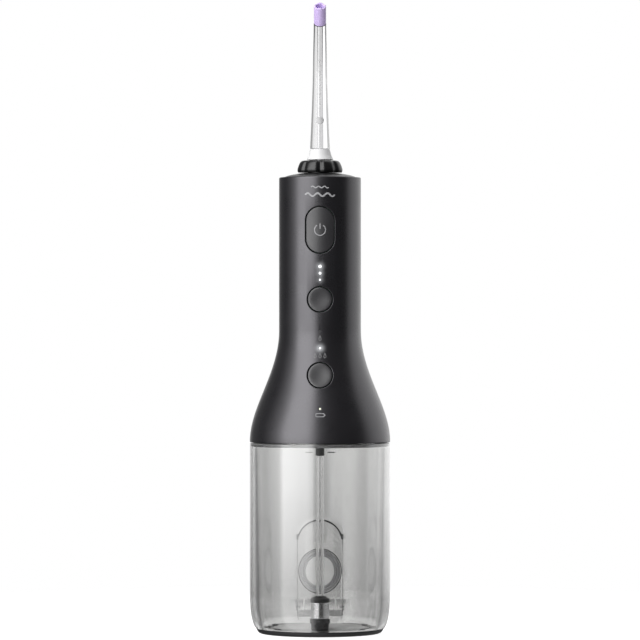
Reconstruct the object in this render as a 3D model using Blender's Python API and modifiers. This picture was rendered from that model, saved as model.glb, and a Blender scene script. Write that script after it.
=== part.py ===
"""A cordless water flosser: a clear reservoir, a handle that lifts off it, and a bent spray nozzle.

The floor is z = 0 at the centre of the foot, +Z is up, and the buttons face -Y. Sizes below are in
millimetres; the shape helpers turn them into Blender's metres.
"""

import math

import bmesh
import bpy
from mathutils import Matrix, Vector

MM = 0.001
WELD = 0.000001

# Outline of the whole object.
TANK_RADIUS = 33.4
SEAM_Z = 90.9
GRIP_RADIUS = 19.49
GRIP_FOOT_Z = 144.0
SHELL_TOP_Z = 216.7
SHELL_WALL = 2.0
FLARE_CURVE = (
    (GRIP_RADIUS, GRIP_FOOT_Z),
    (GRIP_RADIUS, 123.7),
    (TANK_RADIUS, 107.8),
    (TANK_RADIUS, 91.3),
)
FLARE_STEPS = 8
ROUND_STEPS = 32

# Reservoir.
CAVITY_TOP_RADIUS = 30.5
CAVITY_FOOT_RADIUS = 29.3
TANK_BOTTOM_Z = 2.4
FLOOR_INSIDE_Z = 1.4
FLOOR_UNDERSIDE_Z = 0.3
FOOT_INNER_RADIUS = 24.0
FOOT_HEIGHT = 2.2
SHOULDER_Z = 90.6
NECK_BORE = 26.2
NECK_OUTER = 28.2
NECK_TOP_Z = 94.5

# Fill door at the back of the reservoir, on a pair of stub pins near the floor.
DOOR_HALF_WIDTH = 11.1
DOOR_ARCH_Z = 40.4
DOOR_BOTTOM_Z = 8.8
DOOR_INNER_Y = 29.5
DOOR_HINGE_Y = 28.8
DOOR_HINGE_Z = 9.8
DOOR_GAP = 0.4
POCKET_FLOOR_Y = 29.2
PAD_WALL = 1.8
HINGE_POCKET_Y = 27.4
FILL_HOLE_RADIUS = 10.3
FILL_HOLE_Z = 27.5

# Buttons on the front.
POWER_Z = 191.4
INTENSITY_Z = 158.6
MODE_Z = 122.9
POWER_WIDTH = 13.2
POWER_HEIGHT = 21.7
ROUND_BUTTON_RADIUS = 5.75
BUTTON_GAP = 0.4
INTENSITY_LIGHTS = ((174.2, 0.65), (171.0, 0.52), (167.9, 0.42))
MODE_LIGHTS = ((143.6, 0.45), (135.6, 0.5))
BATTERY_LIGHT = (107.2, 0.5)

# Inside the handle.
BOARD_FRONT_Y = -13.0
BOARD_BACK_Y = -11.8
BOARD_LOW_Z = 102.0
BOARD_HIGH_Z = 205.0
CELL_RADIUS = 9.15
CELL_Y = 5.5
CELL_LOW_Z = 145.0
CELL_HIGH_Z = 195.0
MOTOR_RADIUS = 12.2
MOTOR_Y = 3.5
MOTOR_LOW_Z = 106.6
MOTOR_HIGH_Z = 137.5

# Pump and its gears.
GEAR_MODULE = 0.5
CRANK_TEETH = 36
PINION_TEETH = 9
CRANK_X = -10.7
CRANK_THROW = 3.0
ROD_LENGTH = 16.0
PUMP_Z = 96.8
PISTON_RADIUS = 3.3
WRIST_X = CRANK_X + CRANK_THROW + ROD_LENGTH
DECK_SCREW_RADIUS = 27.6
DECK_SCREW_ANGLES = (30, 150, 270)

# Nozzle: a straight tube that bends forward in an arc, then a soft tip.
STEM_RADIUS = 3.6
STEM_LOW_Z = 204.0
KNOB_TOP_Z = 224.7
COLLAR_TOP_Z = 230.2
BEND_Z = 262.5
BEND_RADIUS = 48.0
BEND_ANGLE = math.radians(34)
TIP_ANGLE = math.radians(37)
TIP_LENGTH = 10.5
NOZZLE_BORE = 1.4

# Release catch at the back of the handle, and the charging socket below it.
RELEASE_Z = 207.0
RELEASE_RADIUS = 4.3
PORT_HINGE_Y = 18.6
PORT_HINGE_Z = 137.6

FINISHES = {
    "satin_black": ((0.028, 0.028, 0.031), 0.42, 0.0, 1.0),
    "gloss_black": ((0.012, 0.012, 0.014), 0.12, 0.0, 1.0),
    "inner_black": ((0.020, 0.020, 0.022), 0.55, 0.0, 1.0),
    "smoke_clear": ((0.62, 0.62, 0.63), 0.08, 0.0, 0.35),
    "clear": ((0.86, 0.88, 0.90), 0.06, 0.0, 0.35),
    "white": ((0.80, 0.80, 0.80), 0.35, 0.0, 1.0),
    "lavender": ((0.61, 0.48, 0.80), 0.50, 0.0, 1.0),
    "silicone": ((0.30, 0.30, 0.31), 0.60, 0.0, 1.0),
    "seal_rubber": ((0.03, 0.03, 0.03), 0.70, 0.0, 1.0),
    "steel": ((0.62, 0.62, 0.63), 0.22, 1.0, 1.0),
    "grey_plastic": ((0.25, 0.26, 0.27), 0.50, 0.0, 1.0),
    "gear_plastic": ((0.75, 0.73, 0.66), 0.45, 0.0, 1.0),
    "board_green": ((0.02, 0.16, 0.08), 0.40, 0.0, 1.0),
    "cell_wrap": ((0.05, 0.15, 0.40), 0.35, 0.0, 1.0),
    "light_guide": ((0.90, 0.91, 0.92), 0.20, 0.0, 1.0),
    "hose": ((0.70, 0.72, 0.74), 0.35, 0.0, 1.0),
}


# ---------------------------------------------------------------- scene and shape helpers


def clear_scene():
    for old in list(bpy.data.objects):
        bpy.data.objects.remove(old, do_unlink=True)


def new_collection(name):
    collection = bpy.data.collections.new(name)
    bpy.context.scene.collection.children.link(collection)
    return collection


clear_scene()
PARTS = new_collection("water_flosser")
CUTTERS = new_collection("cutters")


def tool(name, mesh):
    """A shape in the cutters collection. It stays there as a cutter, or part() makes it a piece."""
    obj = bpy.data.objects.new(name, mesh)
    obj.hide_render = True
    obj.display_type = "WIRE"
    CUTTERS.objects.link(obj)
    return obj


def smooth(mesh):
    mesh.shade_smooth()
    mesh.set_sharp_from_angle(angle=math.radians(35))


def tool_from_bmesh(name, shape):
    bmesh.ops.recalc_face_normals(shape, faces=shape.faces)
    mesh = bpy.data.meshes.new(name)
    shape.to_mesh(mesh)
    shape.free()
    smooth(mesh)
    return tool(name, mesh)


def meshed(source):
    """The evaluated shape of a curve or a screwed profile as a welded mesh. The source is removed."""
    name = source.name
    graph = bpy.context.evaluated_depsgraph_get()
    made = bpy.data.meshes.new_from_object(source.evaluated_get(graph))
    shape = bmesh.new()
    shape.from_mesh(made)
    bmesh.ops.remove_doubles(shape, verts=shape.verts, dist=WELD)
    bpy.data.objects.remove(source, do_unlink=True)
    bpy.data.meshes.remove(made)
    return tool_from_bmesh(name, shape)


def turned(name, outline, steps=24):
    """A closed outline of (radius, z) points, or one that starts and ends on the axis, turned about Z."""
    area = sum(
        (r0 * z1 - r1 * z0) for (r0, z0), (r1, z1) in zip(outline, outline[1:] + outline[:1])
    )
    points = outline if area < 0 else outline[::-1]
    closed = points[0][0] > 0 or points[-1][0] > 0
    edges = [(i, i + 1) for i in range(len(points) - 1)]
    if closed:
        edges.append((len(points) - 1, 0))
    mesh = bpy.data.meshes.new(name)
    mesh.from_pydata([(r * MM, 0.0, z * MM) for r, z in points], edges, [])
    obj = tool(name, mesh)
    screw = obj.modifiers.new("Screw", "SCREW")
    screw.steps = steps
    screw.render_steps = steps
    screw.use_merge_vertices = True
    screw.merge_threshold = WELD
    return meshed(obj)


def rod(name, radius, start, end, sides=16):
    """A cylinder from one point to another."""
    start, end = Vector(start), Vector(end)
    turn = (end - start).to_track_quat("Z", "Y").to_matrix().to_4x4()
    shape = bmesh.new()
    bmesh.ops.create_cone(
        shape,
        cap_ends=True,
        segments=sides,
        radius1=radius * MM,
        radius2=radius * MM,
        depth=(end - start).length * MM,
        matrix=Matrix.Translation((start + end) / 2 * MM) @ turn,
    )
    return tool_from_bmesh(name, shape)


def box(name, low, high):
    low, high = Vector(low), Vector(high)
    size = (high - low) * MM
    shape = bmesh.new()
    middle = Matrix.Translation((low + high) / 2 * MM)
    bmesh.ops.create_cube(shape, size=1.0, matrix=middle @ Matrix.Diagonal((*size, 1.0)))
    return tool_from_bmesh(name, shape)


def ball(name, radius, at, rings=10):
    shape = bmesh.new()
    place = Matrix.Translation(Vector(at) * MM)
    bmesh.ops.create_uvsphere(
        shape, u_segments=2 * rings, v_segments=rings, radius=radius * MM, matrix=place
    )
    return tool_from_bmesh(name, shape)


def prism(name, outline, low, high, turn=None):
    """A flat outline of (x, y) points given a thickness from low to high along Z, then turned."""
    curve = bpy.data.curves.new(name, "CURVE")
    curve.dimensions = "2D"
    curve.fill_mode = "BOTH"
    curve.extrude = (high - low) / 2 * MM
    spline = curve.splines.new("POLY")
    spline.points.add(len(outline) - 1)
    for point, (x, y) in zip(spline.points, outline):
        point.co = (x * MM, y * MM, 0.0, 1.0)
    spline.use_cyclic_u = True
    obj = bpy.data.objects.new(name, curve)
    CUTTERS.objects.link(obj)
    flat = meshed(obj)
    flat.data.transform(Matrix.Translation((0.0, 0.0, (low + high) / 2 * MM)))
    if turn is not None:
        flat.data.transform(turn)
    return flat


# Turns an (x, z) outline made flat in XY so that its thickness runs along -Y.
FACING_FRONT = Matrix.Rotation(math.radians(90), 4, "X")


def tube(name, points, radii, sides_step=2):
    """A round rod along points, with one radius for all or one for each."""
    if not isinstance(radii, (list, tuple)):
        radii = [radii] * len(points)
    curve = bpy.data.curves.new(name, "CURVE")
    curve.dimensions = "3D"
    curve.bevel_depth = MM
    curve.bevel_resolution = sides_step
    curve.use_fill_caps = True
    spline = curve.splines.new("POLY")
    spline.points.add(len(points) - 1)
    for point, place, radius in zip(spline.points, points, radii):
        point.co = (*(Vector(place) * MM), 1.0)
        point.radius = radius
    obj = bpy.data.objects.new(name, curve)
    CUTTERS.objects.link(obj)
    return meshed(obj)


def flowing(points, steps=4):
    """Points along a smooth path through the given points (Catmull-Rom)."""
    places = [Vector(p) for p in points]
    places = [2 * places[0] - places[1], *places, 2 * places[-1] - places[-2]]
    path = []
    for a, b, c, d in zip(places, places[1:], places[2:], places[3:]):
        for i in range(steps):
            t = i / steps
            bend = (2 * a - 5 * b + 4 * c - d) * t**2 + (3 * b - a - 3 * c + d) * t**3
            path.append(0.5 * (2 * b + (c - a) * t + bend))
    return [*path, places[-2]]


def boolean(obj, operation, tools):
    for other in tools:
        modifier = obj.modifiers.new(operation.title(), "BOOLEAN")
        modifier.operation = operation
        modifier.solver = "EXACT"
        modifier.object = other
    return obj


def cut(obj, *tools):
    return boolean(obj, "DIFFERENCE", tools)


def join(obj, *tools):
    return boolean(obj, "UNION", tools)


def keep_inside(obj, *tools):
    return boolean(obj, "INTERSECT", tools)


def material(name, finish):
    colour, roughness, metallic, alpha = FINISHES[finish]
    made = bpy.data.materials.new(name)
    made.use_nodes = True
    shader = made.node_tree.nodes["Principled BSDF"]
    shader.inputs["Base Color"].default_value = (*colour, 1.0)
    shader.inputs["Roughness"].default_value = roughness
    shader.inputs["Metallic"].default_value = metallic
    shader.inputs["Alpha"].default_value = alpha
    made.diffuse_color = (*colour, alpha)
    return made


def part(name, obj, finish):
    """Makes a tool a piece of the object, with its own material."""
    obj.name = name
    obj.data.name = name
    obj.hide_render = False
    obj.display_type = "TEXTURED"
    CUTTERS.objects.unlink(obj)
    PARTS.objects.link(obj)
    obj.data.materials.clear()
    obj.data.materials.append(material(name, finish))
    return obj


def hang(name, pivot, *objects):
    """Parents pieces to an empty on their joint's axis, and leaves them where they are."""
    empty = bpy.data.objects.new(name, None)
    empty.location = Vector(pivot) * MM
    empty.empty_display_size = 0.01
    PARTS.objects.link(empty)
    for obj in objects:
        obj.parent = empty
        obj.matrix_parent_inverse = Matrix.Translation(-empty.location)
    return empty


# ---------------------------------------------------------------- outlines


def flare_points():
    """Outer (radius, z) points of the handle's flare, top to bottom, along one cubic curve."""
    p0, p1, p2, p3 = (Vector(p) for p in FLARE_CURVE)
    points = []
    for i in range(FLARE_STEPS + 1):
        t = i / FLARE_STEPS
        point = (1 - t) ** 3 * p0 + 3 * (1 - t) ** 2 * t * p1 + 3 * (1 - t) * t**2 * p2 + t**3 * p3
        points.append((point.x, point.y))
    return points


def handle_radius(z):
    """Outer radius of the handle at a height."""
    points = flare_points()
    for (r0, z0), (r1, z1) in zip(points, points[1:]):
        if z1 <= z <= z0:
            return r0 + (r1 - r0) * (z0 - z) / (z0 - z1)
    return GRIP_RADIUS if z > GRIP_FOOT_Z else TANK_RADIUS


def handle_outline(inset):
    """Outer outline of the handle moved inwards, top to bottom."""
    curve = flare_points()
    points = [(GRIP_RADIUS - inset - 0.5, SHELL_TOP_Z), (GRIP_RADIUS - inset, SHELL_TOP_Z - 0.5)]
    for i, (r, z) in enumerate(curve):
        before, after = Vector(curve[max(i - 1, 0)]), Vector(curve[min(i + 1, FLARE_STEPS)])
        along = (after - before).normalized()
        points.append((r + along.y * inset, z - along.x * inset))
    return [*points, (TANK_RADIUS - inset, SEAM_Z)]


def arch(half_width, bottom, gap=0.0, steps=9):
    """Outline of the fill door as (x, z) points: straight sides under a half circle."""
    half = half_width + gap
    points = [(-half, bottom), (half, bottom)]
    for i in range(steps + 1):
        angle = math.pi * i / steps
        points.append((half * math.cos(angle), DOOR_ARCH_Z + half * math.sin(angle)))
    return points


def stadium(width, height, z, steps=10):
    """Outline of the power button as (x, z) points: a tall slot with round ends."""
    radius = width / 2
    reach = height / 2 - radius
    points = []
    for side, first in ((1, 0.0), (-1, math.pi)):
        for i in range(steps + 1):
            angle = first + math.pi * i / steps
            points.append((radius * math.cos(angle), z + side * reach + radius * math.sin(angle)))
    return points


def front_prism(name, outline, front_y, back_y):
    return prism(name, outline, -back_y, -front_y, FACING_FRONT)


# ---------------------------------------------------------------- reservoir


def hinge_rod(name, radius, reach):
    """A rod on the fill door's hinge line, as far to the left as to the right."""
    return rod(name, radius, (-reach, DOOR_HINGE_Y, DOOR_HINGE_Z), (reach, DOOR_HINGE_Y, DOOR_HINGE_Z))


def tank_outline():
    return [
        (NECK_BORE, NECK_TOP_Z),
        (NECK_OUTER, NECK_TOP_Z),
        (NECK_OUTER, SHOULDER_Z),
        (TANK_RADIUS - 0.4, SHOULDER_Z),
        (TANK_RADIUS, SHOULDER_Z - 0.4),
        (TANK_RADIUS, 19.0),
        (33.05, 10.6),
        (32.14, 5.8),
        (31.0, 3.0),
        (30.6, TANK_BOTTOM_Z),
        (FOOT_INNER_RADIUS - 0.3, TANK_BOTTOM_Z),
        (FOOT_INNER_RADIUS - 0.3, FLOOR_UNDERSIDE_Z),
        (0.0, FLOOR_UNDERSIDE_Z),
        (0.0, NECK_TOP_Z),
    ]


def cavity_outline():
    """The water space narrows a little downwards, as a moulding core does."""
    return [
        (0.0, NECK_TOP_Z + 1),
        (NECK_BORE, NECK_TOP_Z + 1),
        (NECK_BORE, SHOULDER_Z - 2.0),
        (CAVITY_TOP_RADIUS - 0.7, SHOULDER_Z - 3.0),
        (CAVITY_TOP_RADIUS, SHOULDER_Z - 4.2),
        (CAVITY_FOOT_RADIUS, 20.0),
        (CAVITY_FOOT_RADIUS - 0.3, 8.0),
        (CAVITY_FOOT_RADIUS - 1.2, 4.6),
        (26.6, 3.6),
        (24.4, 3.5),
        (22.6, FLOOR_INSIDE_Z),
        (0.0, FLOOR_INSIDE_Z),
    ]


def reservoir():
    tank = turned("tank_outside", tank_outline(), ROUND_STEPS)
    cavity = turned("tank_cavity", cavity_outline(), ROUND_STEPS)
    door_pad = box("door_pad", (-13.4, POCKET_FLOOR_Y - PAD_WALL, 0), (13.4, 40, 54))
    hinge_pad = box("hinge_pad", (-13.4, 25.8, 0), (13.4, 40, 14.2))
    cut(cavity, door_pad, hinge_pad)
    pocket = prism("door_pocket", arch(DOOR_HALF_WIDTH, 5.5, DOOR_GAP), -40, -POCKET_FLOOR_Y, FACING_FRONT)
    half = DOOR_HALF_WIDTH + DOOR_GAP
    hinge_pocket = box("hinge_pocket", (-half, HINGE_POCKET_Y, 5.5), (half, 31, 12.2))
    hole = rod("fill_hole", FILL_HOLE_RADIUS, (0, 20, FILL_HOLE_Z), (0, 35, FILL_HOLE_Z), 32)
    pin_bore = hinge_rod("pin_bore", 1.08, 12.4)
    cut(tank, cavity, pocket, hinge_pocket, hole, pin_bore)
    return part("reservoir_tank", tank, "smoke_clear")


def foot_ring():
    outline = [
        (FOOT_INNER_RADIUS, FOOT_HEIGHT),
        (30.4, FOOT_HEIGHT),
        (29.8, 1.1),
        (29.1, 0.3),
        (28.3, 0.0),
        (FOOT_INNER_RADIUS, 0.0),
    ]
    return part("foot_ring", turned("foot", outline, ROUND_STEPS), "seal_rubber")


def fill_door():
    door = prism("door", arch(DOOR_HALF_WIDTH, DOOR_BOTTOM_Z), -36, -DOOR_INNER_Y, FACING_FRONT)
    outer = TANK_RADIUS - 0.1
    skin_outline = [(0, 60), (outer, 60), (outer, 19), (32.5, 8.3), (31.5, 5), (0, 5)]
    skin = turned("door_skin", skin_outline, ROUND_STEPS)
    dish = ball("finger_dish", 40, (0, TANK_RADIUS + 38.7, 32), 28)
    barrel = hinge_rod("door_barrel", 1.1, DOOR_HALF_WIDTH)
    pins = hinge_rod("door_pins", 1.0, 12.2)
    plug = rod("door_plug", 7.2, (0, 26.6, FILL_HOLE_Z), (0, 30.2, FILL_HOLE_Z), 28)
    reach, turn = DOOR_HALF_WIDTH - 0.6, math.radians(20)
    bump_x, bump_z = reach * math.cos(turn), DOOR_ARCH_Z + reach * math.sin(turn)
    bumps = [ball(f"door_bump_{side}", 0.9, (side * bump_x, 30.5, bump_z), 5) for side in (-1, 1)]
    keep_inside(door, skin)
    cut(door, dish)
    join(door, barrel, pins, plug, *bumps)
    return part("fill_door", door, "smoke_clear")


def door_seal():
    outline = [(7.5, 29.2), (9.9, 29.2), (9.9, 27.6), (9.4, 27.0), (7.5, 27.0)]
    ring = turned("seal_ring", outline, 24)
    facing_back = Matrix.Rotation(math.radians(-90), 4, "X")
    ring.data.transform(Matrix.Translation((0, 0, FILL_HOLE_Z * MM)) @ facing_back)
    return part("door_seal", ring, "silicone")


# ---------------------------------------------------------------- pickup tube


def pickup():
    tube_outline = [(0.9, 83.4), (1.9, 83.4), (1.9, 8.0), (0.9, 8.0)]
    suction_tube = part("suction_tube", turned("pickup_tube", tube_outline, 20), "hose")
    flange_outline = [(2.0, 17.4), (2.6, 17.4), (4.62, 16.0), (4.62, 14.65), (2.0, 14.65)]
    flange = part("pickup_flange", turned("flange", flange_outline, 24), "inner_black")
    weight_outline = [(2.0, 14.5), (4.35, 14.5), (4.6, 14.2), (4.6, 7.4), (4.35, 7.1), (2.0, 7.1)]
    weight = part("pickup_weight", turned("weight", weight_outline, 24), "steel")
    filter_outline = [(0, 6.95), (4.77, 6.95), (4.77, 5.3), (4.25, 4.6), (4.2, 1.8), (0, 1.8)]
    strainer = part("pickup_filter", turned("filter", filter_outline, 24), "inner_black")
    return suction_tube, flange, weight, strainer


# ---------------------------------------------------------------- handle shell and its cap


def boss_places():
    for angle in DECK_SCREW_ANGLES:
        turn = math.radians(angle)
        yield DECK_SCREW_RADIUS * math.cos(turn), DECK_SCREW_RADIUS * math.sin(turn)


def handle_shell():
    outside = handle_outline(0.0)
    inside = [(17.5, SHELL_TOP_Z), *handle_outline(SHELL_WALL)[2:-1:2], (TANK_RADIUS - SHELL_WALL, SEAM_Z)]
    shell = turned("shell", outside + inside[::-1], ROUND_STEPS)
    skin = turned("boss_limit", [(0, SHELL_TOP_Z), *handle_outline(0.6), (0, SEAM_Z)], ROUND_STEPS)
    for x, y in boss_places():
        boss = rod("screw_boss", 2.4, (x, y, 98.9), (x, y, 108))
        join(shell, keep_inside(boss, skin))
        cut(shell, rod("boss_hole", 1.15, (x, y, 97), (x, y, 105), 12))
    power = stadium(POWER_WIDTH + 2 * BUTTON_GAP, POWER_HEIGHT + 2 * BUTTON_GAP, POWER_Z)
    cut(shell, front_prism("power_opening", power, -25, -12))
    for z in (INTENSITY_Z, MODE_Z):
        cut(shell, rod("button_opening", ROUND_BUTTON_RADIUS + BUTTON_GAP, (0, -34, z), (0, -12, z), 32))
    for z, radius in (*INTENSITY_LIGHTS, *MODE_LIGHTS, BATTERY_LIGHT):
        cut(shell, rod("light_opening", radius + 0.15, (0, -36, z), (0, -12, z), 16))
    port = box("port_opening", (-5.9, 12, 136.2), (5.9, 25, 145.5))
    release_radius = RELEASE_RADIUS + BUTTON_GAP
    release = rod("release_opening", release_radius, (0, 12, RELEASE_Z), (0, 25, RELEASE_Z), 28)
    cut(shell, port, release)
    return part("handle_shell", shell, "satin_black")


def top_cap():
    outline = [
        (6.2, 218.9),
        (8.0, 218.8),
        (11.0, 218.5),
        (13.1, 218.05),
        (15.0, 217.6),
        (16.3, 217.2),
        (17.1, 216.9),
        (17.1, 213.0),
        (15.4, 213.0),
        (15.4, 215.4),
        (8.6, 216.4),
        (8.6, 215.4),
        (6.2, 215.4),
    ]
    return part("top_cap", turned("cap", outline, 28), "satin_black")


def handle_skin(name):
    """The solid that button and light-guide fronts are trimmed to, just inside the shell's surface."""
    return turned(name, [(0, SHELL_TOP_Z), *handle_outline(0.12), (0, SEAM_Z)], ROUND_STEPS)


def power_button(skin):
    cap = front_prism("power_cap", stadium(POWER_WIDTH, POWER_HEIGHT, POWER_Z), -25, -15.3)
    rim = front_prism("power_rim", stadium(14.8, 23.4, POWER_Z), -15.6, -14.9)
    return part("power_button", join(keep_inside(cap, skin), rim), "satin_black")


def round_button(name, z, rim_y, skin):
    """A dished round cap trimmed to the handle's surface, with a rim and a stem behind the shell."""
    cap = rod("round_cap", ROUND_BUTTON_RADIUS, (0, -36, z), (0, rim_y + 0.2, z), 32)
    front = -handle_radius(z)
    slope = (handle_radius(z - 3) - handle_radius(z + 3)) / 6
    tilt = math.atan(slope)
    dish_radius = 22
    depth = 0.9
    reach = dish_radius - depth
    centre = (0, front - reach * math.cos(tilt), z + reach * math.sin(tilt))
    dish = ball("button_dish", dish_radius, centre, 20)
    rim = rod("button_rim", 6.8, (0, rim_y, z), (0, rim_y + 0.8, z), 28)
    stem = rod("button_stem", 2.0, (0, rim_y + 0.6, z), (0, -14.9, z), 14)
    return part(name, join(cut(keep_inside(cap, skin), dish), rim, stem), "satin_black")


def light_guides(skin):
    """Clear rods that carry the board's lights to the front surface, three groups in three pieces."""
    groups = (("intensity_light_guide", INTENSITY_LIGHTS), ("mode_light_guide", MODE_LIGHTS))
    made = []
    for name, lights in groups:
        low = lights[-1][0] - 1.4
        high = lights[0][0] + 1.4
        bar = box("guide_bar", (-1.5, -14.6, low), (1.5, -13.8, high))
        for z, radius in lights:
            join(bar, keep_inside(rod("guide_pin", radius, (0, -34, z), (0, -14.2, z), 14), skin))
        made.append(part(name, bar, "light_guide"))
    z, radius = BATTERY_LIGHT
    pin = keep_inside(rod("battery_pin", radius, (0, -36, z), (0, -14.2, z), 14), skin)
    join(pin, rod("battery_guide_base", 1.5, (0, -14.8, z), (0, -13.8, z), 14))
    made.append(part("battery_light_guide", pin, "light_guide"))
    return made


# ---------------------------------------------------------------- inside the handle


def board_and_switches():
    board = box("board", (-10, BOARD_FRONT_Y, BOARD_LOW_Z), (10, BOARD_BACK_Y, BOARD_HIGH_Z))
    for z, _ in (*INTENSITY_LIGHTS, *MODE_LIGHTS, BATTERY_LIGHT):
        light = box(
            "board_light", (-0.8, BOARD_FRONT_Y - 0.6, z - 0.4), (0.8, BOARD_FRONT_Y + 0.2, z + 0.4)
        )
        join(board, light)
    chip = box("board_chip", (-3.5, BOARD_FRONT_Y - 0.8, 148), (3.5, BOARD_FRONT_Y + 0.2, 155))
    part("circuit_board", join(board, chip), "board_green")
    for name, z in (("power_switch", POWER_Z), ("intensity_switch", INTENSITY_Z), ("mode_switch", MODE_Z)):
        body = box("switch_body", (-2.2, -13.9, z - 2.2), (2.2, -13.1, z + 2.2))
        dome = rod("switch_dome", 1.1, (0, -14.2, z), (0, -13.5, z), 14)
        part(name, join(body, dome), "grey_plastic")


def chassis():
    plate = box("chassis_plate", (-12, -10.8, 107), (12, -9.4, 200))
    shelf = box("cell_shelf", (-11, -10, 143.3), (11, 12, 144.5))
    roof = box("cell_roof", (-11, -10, 195.6), (11, 8, 196.8))
    rails = [box("cell_rail", (left, -10, 144), (left + 1.4, 3, 196)) for left in (-11, 9.6)]
    posts = [rod("board_post", 1.6, (x, -11.5, z), (x, -10, z), 12) for x in (-8, 8) for z in (112, 190)]
    return part("chassis", join(plate, shelf, roof, *rails, *posts), "grey_plastic")


def battery_and_motor():
    cell_outline = [
        (0, CELL_HIGH_Z),
        (3.0, CELL_HIGH_Z),
        (3.0, CELL_HIGH_Z - 0.9),
        (CELL_RADIUS - 0.6, CELL_HIGH_Z - 0.9),
        (CELL_RADIUS, CELL_HIGH_Z - 1.5),
        (CELL_RADIUS, CELL_LOW_Z),
        (0, CELL_LOW_Z),
    ]
    cell = turned("cell", cell_outline, 24)
    cell.data.transform(Matrix.Translation((0, CELL_Y * MM, 0)))
    part("battery_cell", cell, "cell_wrap")
    can_outline = [
        (0, MOTOR_HIGH_Z),
        (MOTOR_RADIUS - 0.8, MOTOR_HIGH_Z),
        (MOTOR_RADIUS, MOTOR_HIGH_Z - 0.8),
        (MOTOR_RADIUS, MOTOR_LOW_Z),
        (0, MOTOR_LOW_Z),
    ]
    can = turned("motor_can", can_outline, 24)
    can.data.transform(Matrix.Translation((0, MOTOR_Y * MM, 0)))
    cut(can, rod("shaft_hole", 1.3, (0, MOTOR_Y, 105), (0, MOTOR_Y, 112), 16))
    for y in (MOTOR_Y - 8, MOTOR_Y + 8):
        cut(can, rod("motor_screw_hole", 0.95, (0, y, 105), (0, y, 109.5), 12))
    part("motor", can, "steel")


# ---------------------------------------------------------------- deck, gears and pump


def lower_deck():
    outline = [
        (29.3, 98.6),
        (29.3, 96.6),
        (25.0, 96.6),
        (25.0, 94.0),
        (24.4, 94.0),
        (24.4, 92.4),
        (25.0, 92.4),
        (25.0, 90.7),
        (24.6, 90.3),
        (0, 90.3),
        (0, 91.1),
        (23.4, 91.1),
        (23.4, 98.6),
    ]
    deck = turned("deck", outline, 28)
    cut(deck, rod("fitting_hole", 1.65, (0, 0, 89), (0, 0, 92), 16))
    for x, y in boss_places():
        cut(deck, rod("deck_screw_hole", 1.3, (x, y, 96), (x, y, 99), 12))
    return part("lower_deck", deck, "inner_black")


def deck_seal():
    outline = [(25.2, 93.9), (26.0, 93.6), (26.0, 92.8), (25.2, 92.5), (24.6, 92.6), (24.6, 93.8)]
    return part("deck_seal", turned("deck_ring", outline, 28), "seal_rubber")


def screw(name, head_radius, shaft_radius, x, y, head_low, head_high, tip):
    outline = [
        (0, tip),
        (shaft_radius, tip),
        (shaft_radius, head_high),
        (head_radius, head_high),
        (head_radius, head_low),
        (0, head_low),
    ]
    made = turned("screw", outline, 14)
    made.data.transform(Matrix.Translation((x * MM, y * MM, 0)))
    return part(name, made, "steel")


def fasteners():
    for i, (x, y) in enumerate(boss_places(), 1):
        screw(f"deck_screw_{i}", 1.9, 1.0, x, y, 95.2, 96.5, 104.0)
    for i, y in enumerate((MOTOR_Y - 8, MOTOR_Y + 8), 1):
        screw(f"motor_screw_{i}", 1.7, 0.8, 0, y, 103.3, 104.6, 108.8)


def gearbox_frame():
    frame = box("gear_plate", (-20, -9.5, 104.8), (13, 17, 106.3))
    places = ((-18.8, -9.4), (-18.8, 9.4), (10, 14))
    legs = [rod("gear_leg", 1.5, (x, y, 91.3), (x, y, 105), 14) for x, y in places]
    join(frame, *legs)
    cut(frame, rod("shaft_clearance", 2.2, (0, MOTOR_Y, 104), (0, MOTOR_Y, 107), 18))
    cut(frame, rod("axle_hole", 1.6, (CRANK_X, 0, 104), (CRANK_X, 0, 107), 18))
    for y in (MOTOR_Y - 8, MOTOR_Y + 8):
        cut(frame, rod("plate_screw_hole", 0.95, (0, y, 104), (0, y, 107), 12))
    return part("gearbox_frame", frame, "grey_plastic")


def gear_outline(teeth, thin, phase):
    """A spur gear's outline as (x, y) points: involute flanks between short lands."""
    pitch = GEAR_MODULE * teeth / 2
    base = pitch * math.cos(math.radians(20))
    tip = pitch + 0.8 * GEAR_MODULE
    root = pitch - 1.15 * GEAR_MODULE
    start = max(base, root)

    def involute(radius):
        ratio = math.sqrt(max((radius / base) ** 2 - 1, 0))
        return ratio - math.atan(ratio)

    half = math.pi / teeth * thin + involute(pitch)
    points = []
    for tooth in range(teeth):
        centre = phase + 2 * math.pi * tooth / teeth
        flank = [(root, half - involute(start))]
        for radius in (start, tip):
            flank.append((radius, max(half - involute(radius), 0.02)))
        if start <= root:
            flank = flank[1:]
        for radius, angle in flank:
            points.append((radius * math.cos(centre - angle), radius * math.sin(centre - angle)))
        for radius, angle in reversed(flank):
            points.append((radius * math.cos(centre + angle), radius * math.sin(centre + angle)))
    return points


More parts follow.
